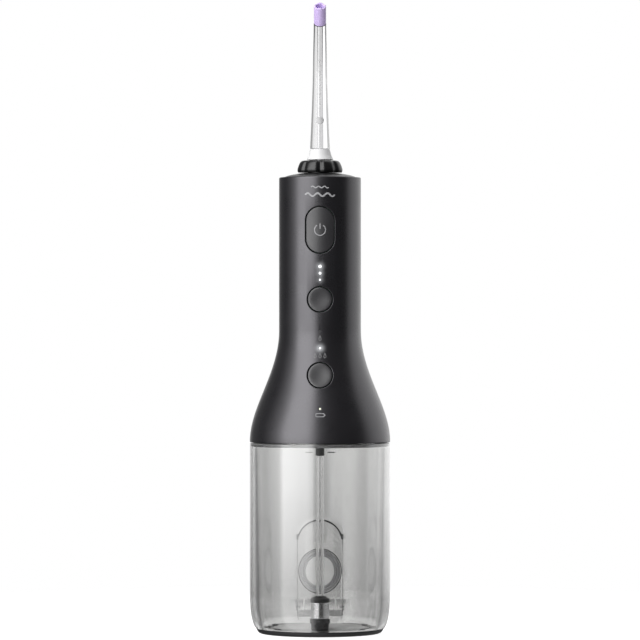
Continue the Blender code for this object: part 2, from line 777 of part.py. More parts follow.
def gears():
    """The pinion's tooth points at a gap of the crank gear, along the line between their centres."""
    line = math.atan2(MOTOR_Y, -CRANK_X)
    crank = prism("crank_teeth", gear_outline(CRANK_TEETH, 0.42, line + math.pi / CRANK_TEETH), 100, 104)
    crank.data.transform(Matrix.Translation((CRANK_X * MM, 0, 0)))
    pin_x = CRANK_X + CRANK_THROW
    join(crank, rod("crank_pin", 1.0, (pin_x, 0, 98.6), (pin_x, 0, 101), 16))
    cut(crank, rod("crank_bore", 1.6, (CRANK_X, 0, 98), (CRANK_X, 0, 106), 18))
    crank_gear = part("crank_gear", crank, "gear_plastic")
    axle_outline = [(0, 106.0), (1.5, 106.0), (1.5, 99.8), (1.85, 99.8), (1.85, 99.0), (0, 99.0)]
    axle = turned("axle", axle_outline, 18)
    axle.data.transform(Matrix.Translation((CRANK_X * MM, 0, 0)))
    part("gear_axle", axle, "steel")
    pinion = prism("pinion_teeth", gear_outline(PINION_TEETH, 0.42, line + math.pi), 100.3, 104.4)
    pinion.data.transform(Matrix.Translation((0, MOTOR_Y * MM, 0)))
    cut(pinion, rod("pinion_bore", 1.1, (0, MOTOR_Y, 99), (0, MOTOR_Y, 106), 16))
    motor_pinion = part("motor_pinion", pinion, "steel")
    shaft = part("motor_shaft", rod("shaft", 1.0, (0, MOTOR_Y, 100.2), (0, MOTOR_Y, 111.5), 16), "steel")
    return crank_gear, motor_pinion, shaft


def piston_and_rod():
    piston = rod("piston_body", PISTON_RADIUS, (5.5, 0, PUMP_Z), (13.5, 0, PUMP_Z), 24)
    groove = cut(
        rod("seal_groove", 4, (11.4, 0, PUMP_Z), (12.6, 0, PUMP_Z), 24),
        rod("groove_core", 2.7, (11, 0, PUMP_Z), (13, 0, PUMP_Z), 24),
    )
    slot = box("rod_slot", (5, -4, PUMP_Z - 1.8), (10.9, 4, PUMP_Z + 1.8))
    pin_hole = rod("wrist_hole", 1.05, (WRIST_X, 0, 92), (WRIST_X, 0, 101), 16)
    piston = part("piston", cut(piston, groove, slot, pin_hole), "gear_plastic")
    ring_outline = [(2.8, 0.5), (3.35, 0.5), (3.35, -0.5), (2.8, -0.5)]
    ring = turned("piston_ring", ring_outline, 24)
    along_x = Matrix.Rotation(math.radians(90), 4, "Y")
    ring.data.transform(Matrix.Translation((12 * MM, 0, PUMP_Z * MM)) @ along_x)
    seal = part("piston_seal", ring, "seal_rubber")
    pin = part("wrist_pin", rod("pin", 0.98, (WRIST_X, 0, 94.2), (WRIST_X, 0, 99.4), 16), "steel")
    big_x = CRANK_X + CRANK_THROW
    link = box("rod_arm", (big_x, -1.2, 95.6), (WRIST_X, 1.2, 98.0))
    join(link, rod("big_end", 2.7, (big_x, 0, 95.4), (big_x, 0, 98.2), 20))
    join(link, rod("small_end", 2.1, (WRIST_X, 0, 95.4), (WRIST_X, 0, 98.2), 20))
    cut(link, rod("big_hole", 1.5, (big_x, 0, 94), (big_x, 0, 99), 18))
    cut(link, rod("small_hole", 1.06, (WRIST_X, 0, 94), (WRIST_X, 0, 99), 16))
    return piston, seal, pin, part("connecting_rod", link, "gear_plastic")


def pump_body():
    barrel = rod("barrel", 5.4, (3.4, 0, PUMP_Z), (18.0, 0, PUMP_Z), 28)
    cut(barrel, rod("barrel_bore", 3.42, (3, 0, PUMP_Z), (19, 0, PUMP_Z), 24))
    part("pump_cylinder", barrel, "grey_plastic")
    head = box("head", (18.3, -6.6, 91.4), (21.6, 6.6, 102.5))
    join(head, box("inlet_block", (18.3, 6, 91.4), (20.8, 10.0, 96.0)))
    cut(head, rod("head_port", 1.5, (18, 0, PUMP_Z), (20.0, 0, PUMP_Z), 16))
    cut(head, rod("head_passage", 0.8, (20.0, 0, 93.6), (20.0, 0, 99), 12))
    cut(head, rod("outlet_chamber", 1.3, (20.0, 0, 98.8), (20.0, 0, 103), 16))
    cut(head, rod("inlet_passage", 0.8, (19.7, 0, 93.6), (19.7, 5, 93.6), 12))
    cut(head, rod("inlet_chamber", 1.1, (19.7, 4, 93.6), (19.7, 8.5, 93.6), 14))
    cut(head, rod("inlet_mouth", 1.7, (17, 8.4, 93.4), (19.6, 8.4, 93.4), 16))
    part("pump_head", head, "grey_plastic")
    part("outlet_valve", ball("outlet_ball", 1.1, (20.0, 0, 100.1), 7), "steel")
    part("inlet_valve", ball("inlet_ball", 0.95, (19.7, 5.2, 93.6), 7), "steel")


def suction_fitting():
    outline = [(0.8, 93.2), (1.5, 93.2), (1.5, 90.1), (2.1, 90.1), (2.1, 84.0), (0.8, 84.0)]
    fitting = turned("fitting", outline, 20)
    join(fitting, rod("hose_spigot", 0.9, (0, 1.1, 92.2), (0, 4.6, 92.2), 14))
    return part("suction_fitting", fitting, "inner_black")


def hoses():
    inlet = [(0, 5, 92.5), (0.2, 6.2, 92.5), (1.8, 7.8, 92.6), (6, 8.5, 92.9)]
    inlet += [(13, 8.4, 93.4), (18.8, 8.4, 93.4)]
    part("inlet_hose", tube("inlet_tube", flowing(inlet, 2), 1.25, 1), "hose")
    rise = [(20.0, 102.8), (19.8, 106), (17.0, 113), (15.3, 124), (15.3, 150), (15.3, 188)]
    rise += [(14.2, 197.6), (12.2, 199.8), (10.9, 200)]
    delivery = flowing([(x, 0, z) for x, z in rise], 2)
    part("delivery_hose", tube("delivery_tube", delivery, 1.45, 1), "hose")


# ---------------------------------------------------------------- nozzle, knob and release


def nozzle_seat():
    outline = [
        (3.9, 208.6),
        (7.4, 208.6),
        (7.4, 197.0),
        (0, 197.0),
        (0, 198.6),
        (1.8, 198.6),
        (1.8, 203.0),
        (3.9, 203.0),
    ]
    seat = turned("seat", outline, 20)
    join(seat, rod("seat_spigot", 1.5, (6.8, 0, 200), (9.7, 0, 200), 14))
    cut(seat, rod("seat_passage", 0.7, (0, 0, 200), (10, 0, 200), 10))
    return part("nozzle_seat", seat, "grey_plastic")


def knob_seal():
    outline = [(6.4, 214.9), (7.8, 214.9), (7.8, 213.9), (6.4, 213.9)]
    return part("knob_seal", turned("knob_ring", outline, 28), "seal_rubber")


def nozzle_knob():
    outline = [
        (3.95, KNOB_TOP_Z),
        (8.1, KNOB_TOP_Z),
        (9.3, 223.8),
        (10.0, 222.8),
        (10.9, 221.0),
        (11.0, 220.3),
        (10.7, 219.4),
        (5.9, 219.4),
        (5.9, 212.4),
        (7.0, 212.4),
        (7.0, 211.2),
        (3.95, 211.2),
    ]
    knob = turned("knob", outline, 24)
    for i in range(8):
        turn = math.radians(45 * i)
        x, y = 12.7 * math.cos(turn), 12.7 * math.sin(turn)
        cut(knob, rod("knob_flute", 2.2, (x, y, 218.6), (x, y, 226), 10))
    return part("nozzle_knob", knob, "gloss_black")


def bend_path(start_z, steps):
    """Centre line of the nozzle from a height, up the straight and round the bend."""
    points = [(0, 0, start_z), (0, 0, BEND_Z)]
    for i in range(1, steps + 1):
        angle = BEND_ANGLE * i / steps
        points.append((0, -BEND_RADIUS * (1 - math.cos(angle)), BEND_Z + BEND_RADIUS * math.sin(angle)))
    return points


def nozzle():
    stem_outline = [
        (0, 231.5),
        (STEM_RADIUS, 231.5),
        (STEM_RADIUS, 208.0),
        (3.1, 208.0),
        (3.1, 206.4),
        (STEM_RADIUS, 206.4),
        (STEM_RADIUS, STEM_LOW_Z),
        (0, STEM_LOW_Z),
    ]
    shaft = turned("stem", stem_outline, 24)
    heights = [(230.5, 4.72), (238.6, 4.34), (250, 3.87)]
    straight = [(0, 0, z) for z, _ in heights]
    curved = bend_path(BEND_Z, 6)[1:]
    radii = [r for _, r in heights] + [3.48, 3.38, 3.28, 3.18, 3.08, 3.0, 2.93]
    join(shaft, tube("shaft_tube", straight + curved, radii, 3))
    end = Vector(curved[-1])
    along = Vector((0, -math.sin(TIP_ANGLE), math.cos(TIP_ANGLE)))
    join(shaft, rod("tip_spigot", 1.9, end - along, end + along * 4.2, 20))
    bore = bend_path(STEM_LOW_Z - 1, 6) + [tuple(end + along * 6)]
    cut(shaft, tube("shaft_bore", bore, NOZZLE_BORE, 1))
    shaft = part("nozzle_shaft", shaft, "clear")
    tip_outline = [
        (2.0, 0.3),
        (2.85, 0.3),
        (2.82, TIP_LENGTH - 0.8),
        (2.5, TIP_LENGTH),
        (1.9, TIP_LENGTH),
        (1.9, 7.8),
        (1.1, 7.8),
        (1.1, 4.8),
        (2.0, 4.8),
    ]
    tip = turned("tip", tip_outline, 24)
    for size in ((3.5, 0.5), (0.5, 3.5)):
        cut(tip, box("tip_slot", (-size[0], -size[1], TIP_LENGTH - 2.0), (*size, TIP_LENGTH + 1)))
    tip.data.transform(Matrix.Translation(end * MM) @ Matrix.Rotation(TIP_ANGLE, 4, "X"))
    for modifier in tip.modifiers:
        modifier.object.data.transform(Matrix.Translation(end * MM) @ Matrix.Rotation(TIP_ANGLE, 4, "X"))
    tip = part("nozzle_tip", tip, "lavender")
    collar_outline = [(3.7, COLLAR_TOP_Z), (4.65, COLLAR_TOP_Z), (5.3, 227.6), (6.35, 225.1), (3.7, 225.1)]
    collar = part("nozzle_collar", turned("collar", collar_outline, 24), "white")
    ring_outline = [(3.2, 207.6), (3.78, 207.4), (3.78, 207.0), (3.2, 206.8)]
    ring = part("nozzle_o_ring", turned("o_ring", ring_outline, 24), "seal_rubber")
    return shaft, tip, collar, ring


def release(skin):
    """A push button at the back, and the flat catch plate that it moves round the nozzle's stem."""
    cap = rod("release_cap", RELEASE_RADIUS, (0, 15.0, RELEASE_Z), (0, 25, RELEASE_Z), 28)
    keep_inside(cap, skin)
    join(cap, rod("release_rim", 5.3, (0, 15.0, RELEASE_Z), (0, 16.2, RELEASE_Z), 28))
    button = part("release_button", cap, "satin_black")
    plate = box("latch_plate", (-6.5, -7.0, 209.1), (6.5, 8.5, 210.2))
    arm = box("latch_arm", (-2.5, 8.0, 209.1), (2.5, 14.7, 210.2))
    hole = [rod("latch_hole", 4.3, (0, y, 208), (0, y, 211), 24) for y in (0.3, 1.8)]
    latch = part("release_latch", cut(join(plate, arm), *hole), "steel")
    turns, steps = 3.5, 10
    coil = []
    for i in range(int(turns * steps) + 1):
        angle = 2 * math.pi * i / steps
        coil.append((1.8 * math.cos(angle), 9.2 + 5.2 * i / (turns * steps), 205.0 + 1.8 * math.sin(angle)))
    spring = part("release_spring", tube("spring", coil, 0.3, 0), "steel")
    return button, latch, spring


def charging_port():
    socket = box("socket", (-4.5, 10.2, 139.4), (4.5, 16.6, 143.0))
    mouth = box("socket_mouth", (-3.6, 12, 140.1), (3.6, 18, 142.3))
    part("charging_socket", cut(socket, mouth), "grey_plastic")
    cover = box("cover", (-5.5, 17.6, 137.3), (5.5, 25, 145.1))
    cover_skin = handle_skin("cover_skin")
    join(keep_inside(cover, cover_skin), rod("cover_lip", 0.6, (-5.4, 18.0, 137.6), (5.4, 18.0, 137.6), 12))
    return part("charging_port_cover", cover, "inner_black")


# ---------------------------------------------------------------- the whole object


def build():
    reservoir()
    foot_ring()
    door = fill_door()
    seal = door_seal()
    hang("door_pivot", (0, DOOR_HINGE_Y, DOOR_HINGE_Z), door, seal)
    hang("pickup_pivot", (0, 0, 84), *pickup())

    handle_shell()
    top_cap()
    skin = handle_skin("button_skin")
    hang("power_axis", (0, BOARD_FRONT_Y, POWER_Z), power_button(skin))
    intensity = round_button("intensity_button", INTENSITY_Z, -15.7, skin)
    mode = round_button("mode_button", MODE_Z, -18.3, skin)
    hang("intensity_axis", (0, BOARD_FRONT_Y, INTENSITY_Z), intensity)
    hang("mode_axis", (0, BOARD_FRONT_Y, MODE_Z), mode)
    light_guides(skin)
    board_and_switches()
    chassis()
    battery_and_motor()

    lower_deck()
    deck_seal()
    fasteners()
    gearbox_frame()
    crank_gear, motor_pinion, shaft = gears()
    hang("crank_axis", (CRANK_X, 0, 102), crank_gear)
    hang("motor_axis", (0, MOTOR_Y, 102), motor_pinion, shaft)
    piston, piston_seal, wrist_pin, rod_link = piston_and_rod()
    hang("piston_axis", (WRIST_X, 0, PUMP_Z), piston, piston_seal, wrist_pin)
    hang("wrist_axis", (WRIST_X, 0, PUMP_Z), rod_link)
    pump_body()
    suction_fitting()
    hoses()

    nozzle_seat()
    knob_seal()
    hang("knob_axis", (0, 0, SHELL_TOP_Z), nozzle_knob())
    hang("nozzle_axis", (0, 0, SHELL_TOP_Z), *nozzle())
    button, latch, _ = release(skin)
    hang("release_axis", (0, 0, RELEASE_Z), button, latch)
    hang("port_pivot", (0, PORT_HINGE_Y, PORT_HINGE_Z), charging_port())


build()
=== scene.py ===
import math

import bmesh
import bpy
from mathutils import Matrix, Vector

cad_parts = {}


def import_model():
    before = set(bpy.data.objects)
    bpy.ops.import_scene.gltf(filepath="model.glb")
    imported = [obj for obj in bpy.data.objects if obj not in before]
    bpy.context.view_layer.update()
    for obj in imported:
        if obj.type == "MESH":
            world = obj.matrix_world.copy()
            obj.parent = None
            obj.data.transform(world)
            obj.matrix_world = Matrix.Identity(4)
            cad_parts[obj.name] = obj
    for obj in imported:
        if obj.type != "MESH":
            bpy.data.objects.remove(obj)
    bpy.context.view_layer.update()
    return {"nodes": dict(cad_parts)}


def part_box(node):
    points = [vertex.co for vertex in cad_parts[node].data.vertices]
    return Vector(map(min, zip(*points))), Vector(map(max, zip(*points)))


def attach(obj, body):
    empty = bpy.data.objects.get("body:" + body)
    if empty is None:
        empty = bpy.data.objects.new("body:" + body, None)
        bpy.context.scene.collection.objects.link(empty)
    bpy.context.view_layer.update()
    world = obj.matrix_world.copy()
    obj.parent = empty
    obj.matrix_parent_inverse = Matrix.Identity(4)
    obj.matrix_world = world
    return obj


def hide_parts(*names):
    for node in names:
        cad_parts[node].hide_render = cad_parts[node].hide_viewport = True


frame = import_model()

# ---------------------------------------------------------------- sizes, in millimetres
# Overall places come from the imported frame; the finer ones below refine its profiles.

MM = 0.001


def cad(node):
    """A CAD node's lowest and highest corners in millimetres."""
    low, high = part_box(node)
    return Vector(low) / MM, Vector(high) / MM


def middle_z(node):
    low, high = cad(node)
    return (low.z + high.z) / 2


TANK_RADIUS = cad("reservoir_tank")[1].x
SEAM_Z = cad("handle_shell")[0].z
SHELL_TOP_Z = cad("handle_shell")[1].z
GRIP_RADIUS = 19.49
SHELL_WALL = 2.0
FLARE = ((GRIP_RADIUS, 144.0), (GRIP_RADIUS, 123.7), (TANK_RADIUS, 107.8), (TANK_RADIUS, 91.3))
TURN_STEPS = 192

POWER_Z, INTENSITY_Z = middle_z("power_button"), middle_z("intensity_button")
MODE_Z, RELEASE_Z = middle_z("mode_button"), middle_z("release_button")
POWER_WIDTH, POWER_HEIGHT = 13.2, 21.7
ROUND_RADIUS = 5.75
RELEASE_RADIUS = 4.3
BUTTON_GAP = 0.38
BUTTON_INSET = 0.06
POWER_DISH, ROUND_DISH, RELEASE_DISH = -0.12, 0.75, 0.45
INTENSITY_LIGHTS = ((174.2, 0.70), (171.0, 0.58), (167.9, 0.44))
MODE_LIGHTS = ((143.6, 0.45), (135.6, 0.5))
BATTERY_LIGHT = (107.2, 0.5)
PORT_Z, PORT_OPENING_Z = 141.05, 140.85
MARK_DEPTH = 0.05

DOOR_HALF_WIDTH = 11.1
DOOR_GAP = 0.62
DOOR_ARCH_Z = 40.4
DOOR_INNER_Y = 29.5
POCKET_FLOOR_Y = 29.2
DOOR_HINGE_Y, DOOR_HINGE_Z = 28.8, 9.8
FILL_HOLE_RADIUS, FILL_HOLE_Z = 10.6, 27.5

BEND_Z, BEND_RADIUS = 262.5, 48.0
BEND_ANGLE, TIP_ANGLE = math.radians(34), math.radians(37)
BEND_LENGTH = BEND_RADIUS * BEND_ANGLE
TIP_LENGTH, TIP_WAVE_START, TIP_WAVE = 10.4, 6.5, 0.5
COLLAR_TOP_Z = 231.2
KNOB_TOP_Z = cad("nozzle_knob")[1].z
LOBES, LOBE_DEPTH = 8, 0.85


# ---------------------------------------------------------------- mesh helpers


def spoke(radius, angle):
    return radius * math.cos(angle), radius * math.sin(angle)


def finish_mesh(name, shape, sharp=30.0):
    """A new object from a bmesh, smooth except at edges sharper than sharp degrees."""
    bmesh.ops.remove_doubles(shape, verts=shape.verts, dist=1e-6)
    bmesh.ops.recalc_face_normals(shape, faces=shape.faces)
    mesh = bpy.data.meshes.new(name)
    shape.to_mesh(mesh)
    shape.free()
    mesh.shade_smooth()
    mesh.set_sharp_from_angle(angle=math.radians(sharp))
    obj = bpy.data.objects.new(name, mesh)
    bpy.context.scene.collection.objects.link(obj)
    return obj


def rounded(points):
    """A profile of (r, z) or (r, z, fillet) points, with an arc at each point that has a fillet.

    Beside a fillet, a long straight run gets one more point, so that its shading stays flat.
    """
    steps, long_run, lead = 5, 3.0, 0.35
    flat = []
    for i, point in enumerate(points):
        here = Vector(point[:2])
        fillet = point[2] if len(point) > 2 else 0.0
        if fillet <= 0:
            flat.append(here)
            continue
        before, after = Vector(points[i - 1][:2]), Vector(points[(i + 1) % len(points)][:2])
        to_before, to_after = (before - here).normalized(), (after - here).normalized()
        half = math.acos(max(-1.0, min(1.0, to_before.dot(to_after)))) / 2
        reach = fillet / math.tan(half)
        centre = here + (to_before + to_after).normalized() * (fillet / math.sin(half))
        first, last = here + to_before * reach - centre, here + to_after * reach - centre
        turn = math.atan2(first.x * last.y - first.y * last.x, first.dot(last))
        if (before - here).length > reach + long_run:
            flat.append(here + to_before * (reach + lead))
        for k in range(steps + 1):
            angle = turn * k / steps
            flat.append(centre + Matrix.Rotation(angle, 2) @ first)
        if (after - here).length > reach + long_run:
            flat.append(here + to_after * (reach + lead))
    return [(p.x, p.y) for p in flat]


def grid_solid(name, rings, closed_rings=True, sharp=30.0):
    """A skin through equal rings of points. With closed_rings the last ring joins the first."""
    shape = bmesh.new()
    rows = [[shape.verts.new(Vector(p) * MM) for p in ring] for ring in rings]
    pairs = list(zip(rows, rows[1:]))
    if closed_rings:
        pairs.append((rows[-1], rows[0]))
    count = len(rows[0])
    for a, b in pairs:
        for i in range(count):
            j = (i + 1) % count
            shape.faces.new((a[i], a[j], b[j], b[i]))
    if not closed_rings:
        shape.faces.new(rows[0])
        shape.faces.new(rows[-1])
    return finish_mesh(name, shape, sharp)


def ring_round(radius, z, steps=TURN_STEPS):
    return [(*spoke(radius, 2 * math.pi * i / steps), z) for i in range(steps)]


def lathe(name, profile, steps=TURN_STEPS):
    """A closed (r, z) profile turned about the upright axis."""
    on_axis = 1e-4
    return grid_solid(name, [ring_round(max(r, on_axis), z, steps) for r, z in profile])


def boolean(obj, operation, other):
    """Applies one Boolean, keeps the result as the object's own mesh and removes the other object."""
    modifier = obj.modifiers.new("Boolean", "BOOLEAN")
    modifier.operation = operation
    modifier.solver = "EXACT"
    modifier.object = other
    graph = bpy.context.evaluated_depsgraph_get()
    mesh = bpy.data.meshes.new_from_object(obj.evaluated_get(graph))
    obj.modifiers.clear()
    obj.data = mesh
    bpy.data.objects.remove(other)


def merged(name, objects):
    """Several separate closed meshes in one object, as a cutter or as printed marks."""
    shape = bmesh.new()
    for obj in objects:
        obj.data.transform(obj.matrix_world)
        shape.from_mesh(obj.data)
        bpy.data.objects.remove(obj)
    return finish_mesh(name, shape)


def turned_about(obj, axis_turn, at):
    """Turns a mesh about the origin and then moves it."""
    obj.data.transform(Matrix.Translation(Vector(at) * MM) @ axis_turn)
    return obj


def facing_back(obj, y, z):
    """Lays a turned piece down, so that its axis runs along Y at height z."""
    return turned_about(obj, Matrix.Rotation(math.radians(-90), 4, "X"), (0, y, z))


def smoothed(obj, name, sharp=30.0):
    """The final name and smooth shading of a piece that Booleans have cut."""
    obj.data.shade_smooth()
    obj.data.set_sharp_from_angle(angle=math.radians(sharp))
    obj.name = name


# ---------------------------------------------------------------- the handle's outer surface


def flare_point(t):
    p0, p1, p2, p3 = (Vector(p) for p in FLARE)
    return (1 - t) ** 3 * p0 + 3 * (1 - t) ** 2 * t * p1 + 3 * (1 - t) * t**2 * p2 + t**3 * p3


def handle_radius(z):
    """Outer radius of the handle at a height, by halving the curve's parameter."""
    if z >= FLARE[0][1]:
        return GRIP_RADIUS
    if z <= FLARE[3][1]:
        return TANK_RADIUS
    low, high = 0.0, 1.0
    for _ in range(30):
        middle = (low + high) / 2
        if flare_point(middle).y > z:
            low = middle
        else:
            high = middle
    return flare_point(low).x


def on_handle(x, z, depth, side=-1):
    """The point at (x, z) that lies depth inside the handle's surface, on the front (-1) or the back (1)."""
    radius = handle_radius(z) - depth
    return (x, side * math.sqrt(max(radius**2 - x**2, 0.01)), z)


# ---------------------------------------------------------------- outlines, as (x, z, outward x, outward z)


def rim_point(x, z, radius, angle):
    """A point on a circle about (x, z), with the outward direction there."""
    out_x, out_z = math.cos(angle), math.sin(angle)
    return x + radius * out_x, z + radius * out_z, out_x, out_z


def circle_outline(radius, z, steps=72):
    turns = [2 * math.pi * i / steps for i in range(steps)]
    return [rim_point(0.0, z, radius, a) for a in turns]


def slot_outline(width, height, z):
    steps, radius = 36, width / 2
    reach = height / 2 - radius
    points = []
    for side, first in ((1, 0.0), (-1, math.pi)):
        for i in range(steps + 1):
            points.append(rim_point(0.0, z + side * reach, radius, first + math.pi * i / steps))
    return points


def box_outline(width, height, corner, z, steps=8):
    points = []
    for quarter in range(4):
        middle = math.radians(45 + 90 * quarter)
        cx = (width / 2 - corner) * math.copysign(1, math.cos(middle))
        cz = (height / 2 - corner) * math.copysign(1, math.sin(middle))
        for i in range(steps + 1):
            points.append(rim_point(cx, z + cz, corner, math.radians(90 * quarter + 90 * i / steps)))
    return points


def surface_ring(outline, offset, depth, side=-1, scale=1.0, centre_z=0.0):
    """An outline grown by offset, scaled about its centre and laid depth inside the handle's surface."""
    ring = []
    for x, z, nx, nz in outline:
        px, pz = x + nx * offset, z + nz * offset
        px, pz = px * scale, centre_z + (pz - centre_z) * scale
        ring.append(on_handle(px, pz, depth, side))
    return ring


def opening_cutter(name, outline, fillet=0.3, reach=6.0, side=-1):
    """Cuts an opening whose rim rounds over by fillet, following the curved surface."""
    rings = [surface_ring(outline, 0.0, reach, side)]
    steps, last_turn = 5, math.radians(88)
    for i in range(steps + 1):
        a = last_turn * i / steps
        rings.append(surface_ring(outline, fillet * (1 - math.cos(a)), fillet * (1 - math.sin(a)), side))
    rings.append(surface_ring(outline, fillet * 1.08, -2.0, side))
    return grid_solid(name, rings, closed_rings=False)


# ---------------------------------------------------------------- materials


class Nodes:
    """A short way to write a material's node tree."""

    def __init__(self, name):
        self.material = bpy.data.materials.new(name)
        self.material.use_nodes = True
        self.tree = self.material.node_tree
        self.shader = self.tree.nodes["Principled BSDF"]
        self.output = self.tree.nodes["Material Output"]
        self.place = self.add("ShaderNodeTexCoord").outputs["Object"]

    def add(self, kind, **settings):
        node = self.tree.nodes.new(kind)
        for key, value in settings.items():
            setattr(node, key, value)
        return node

    def link(self, source, target):
        if isinstance(source, (int, float)):
            target.default_value = source
        elif isinstance(source, tuple):
            target.default_value = source if len(source) != 3 or target.type == "VECTOR" else (*source, 1.0)
        else:
            self.tree.links.new(source, target)

    def set(self, **values):
        for key, value in values.items():
            self.link(value, self.shader.inputs[key.replace("_", " ")])

    def math(self, operation, a, b=0.0):
        node = self.add("ShaderNodeMath", operation=operation)
        self.link(a, node.inputs[0])
        self.link(b, node.inputs[1])
        return node.outputs[0]

    def mix(self, factor, a, b):
        node = self.add("ShaderNodeMix", data_type="RGBA")
        self.link(factor, node.inputs[0])
        self.link(a, node.inputs[6])
        self.link(b, node.inputs[7])
        return node.outputs[2]

    def ramp(self, value, low, high, to_low, to_high):
        node = self.add("ShaderNodeMapRange", clamp=True)
        for socket, number in zip(node.inputs, (value, low, high, to_low, to_high)):
            self.link(number, socket)
        return node.outputs[0]

    def noise(self, scale, detail=2.0, stretch=None):
        """Noise whose grain is about 1/scale metres."""
        place = self.place
        if stretch:
            mapping = self.add("ShaderNodeMapping")
            self.link(place, mapping.inputs["Vector"])
            mapping.inputs["Scale"].default_value = stretch
            place = mapping.outputs[0]
        node = self.add("ShaderNodeTexNoise")
        self.link(place, node.inputs["Vector"])
        node.inputs["Scale"].default_value = scale
        node.inputs["Detail"].default_value = detail
        return node.outputs["Fac"]

    def bump(self, height, distance):
        node = self.add("ShaderNodeBump")
        node.inputs["Distance"].default_value = distance
        node.inputs["Strength"].default_value = 1.0
        self.link(height, node.inputs["Height"])
        self.link(node.outputs[0], self.shader.inputs["Normal"])

    def near(self, point, inner, outer):
        """1 within inner millimetres of a point, falling to 0 at outer."""
        node = self.add("ShaderNodeVectorMath", operation="DISTANCE")
        self.link(self.place, node.inputs[0])
        node.inputs[1].default_value = Vector(point) * MM
        return self.ramp(node.outputs["Value"], inner * MM, outer * MM, 1.0, 0.0)


def moulded(name, colour, roughness, grain=5200.0, depth=0.000012, spread=0.04, shine=0.5):
    """Moulded plastic: a fine spark-eroded grain, and slow changes in sheen and tone."""
    m = Nodes(name)
    slow = m.noise(90.0, 3.0)
    fine = m.noise(grain, 2.0)
    darker = tuple(c * 0.86 for c in colour)
    lighter = tuple(min(c * 1.12, 1.0) for c in colour)
    m.set(Base_Color=m.mix(slow, darker, lighter))
    wear = m.math("ADD", m.math("MULTIPLY", slow, 0.6), m.math("MULTIPLY", fine, 0.4))
    m.set(Roughness=m.ramp(wear, 0.3, 0.7, roughness - spread, roughness + spread))
    m.set(Specular_IOR_Level=shine)
    m.bump(fine, depth)
    return m


def glow(m, points, colour, strength):
    """Light from an LED that spreads a little way into the surface round it."""
    total = 0.0
    for point, inner, outer, amount in points:
        halo = m.near(point, inner, outer)
        total = m.math("ADD", total, m.math("MULTIPLY", m.math("POWER", halo, 3.0), amount))
    m.set(Emission_Color=colour, Emission_Strength=m.math("MULTIPLY", total, strength))


def clear_plastic(name, tint, ior, edge_shade_tint=None, shadow=0.8):
    """Clear moulded plastic with very slight changes in tone and polish. Light reaches through it.

    With an edge tint its colour is painted darker where its surface turns away: painted shade for the dark
    edges a thick clear wall shows.
    """
    m = Nodes(name)
    roughness = 0.012
    if edge_shade_tint:
        facing = m.add("ShaderNodeLayerWeight").outputs["Facing"]
        facing.node.inputs["Blend"].default_value = 0.5
        m.set(Base_Color=m.mix(m.ramp(facing, 0.30, 0.85, 0.0, 1.0), tint, edge_shade_tint))
    else:
        m.set(Base_Color=m.mix(m.noise(55.0, 2.0), tuple(c * 0.985 for c in tint), tint))
    m.set(Roughness=m.ramp(m.noise(400.0, 2.0), 0.3, 0.7, roughness * 0.7, roughness * 1.3))
    m.set(IOR=ior, Transmission_Weight=1.0)
    see_through = m.add("ShaderNodeBsdfTransparent")
    see_through.inputs["Color"].default_value = tuple(c * shadow for c in tint) + (1.0,)
    path = m.add("ShaderNodeLightPath")
    mixed = m.add("ShaderNodeMixShader")
    m.link(path.outputs["Is Shadow Ray"], mixed.inputs[0])
    m.link(m.shader.outputs[0], mixed.inputs[1])
    m.link(see_through.outputs[0], mixed.inputs[2])
    m.link(mixed.outputs[0], m.output.inputs["Surface"])
    return m


def metal(name, colour, roughness):
    """Turned metal, with fine rings round its axis."""
    m = Nodes(name)
    lines = m.noise(900.0, 3.0, (1.0, 1.0, 12.0))
    m.set(Base_Color=m.mix(lines, tuple(c * 0.9 for c in colour), colour), Metallic=1.0)
    m.set(Roughness=m.ramp(lines, 0.3, 0.7, roughness * 0.7, roughness * 1.3))
    m.bump(lines, 0.000006)
    return m


def lit(name, colour, strength):
    """The lens of a light that is on."""
    m = Nodes(name)
    rim = m.ramp(m.noise(2500.0), 0.3, 0.7, 0.85, 1.0)
    m.set(Base_Color=(0.8, 0.8, 0.8), Roughness=0.3)
    m.set(Emission_Color=colour, Emission_Strength=m.math("MULTIPLY", rim, strength))
    return m


SATIN = moulded("satin_black", (0.0052, 0.005, 0.0062), 0.29, depth=0.000006, shine=0.95)
SATIN.set(Specular_Tint=(0.97, 0.95, 1.0, 1.0))
COOL_WHITE = (0.95, 0.97, 1.0, 1.0)
HALOS = [(on_handle(0, z, 0), r, r + 3.2, a) for (z, r), a in zip(INTENSITY_LIGHTS, (1.0, 0.8, 0.6))]
HALOS.append((on_handle(0, MODE_LIGHTS[1][0], 0), 0.9, 4.2, 1.1))
glow(SATIN, HALOS, COOL_WHITE, 0.35)
BUTTON = moulded("button_black", (0.016, 0.0155, 0.018), 0.42, grain=6500.0, depth=0.000006, shine=0.9)
CAP_BLACK = moulded("cap_black", (0.008, 0.008, 0.009), 0.36, shine=0.9)
GLOSS = moulded("gloss_black", (0.004, 0.004, 0.0045), 0.30, grain=1500.0, depth=0.000002, spread=0.02)
INNER_BLACK = moulded("inner_black", (0.006, 0.006, 0.0065), 0.42)
# Black rubber for the seals and the foot; the same black also prints the fill line and paints shade in the
# door's gaps and along its edges.
SEAL_AND_SHADE = moulded("seal_rubber", (0.010, 0.010, 0.011), 0.6, grain=3000.0)
WHITE = moulded("collar_white", (0.70, 0.70, 0.705), 0.42, grain=3500.0, depth=0.000004)
LAVENDER = moulded("lavender_silicone", (0.60, 0.47, 0.80), 0.50, grain=1800.0, depth=0.0000015)
SILICONE = moulded("grey_silicone", (0.38, 0.38, 0.39), 0.55, grain=3000.0)
GREY = moulded("inner_grey", (0.22, 0.23, 0.24), 0.48)
NATURAL = moulded("natural_nylon", (0.74, 0.72, 0.64), 0.42)
BOARD = moulded("board_lacquer", (0.02, 0.14, 0.07), 0.30, grain=2200.0)
WRAP = moulded("cell_wrap", (0.04, 0.13, 0.36), 0.28)
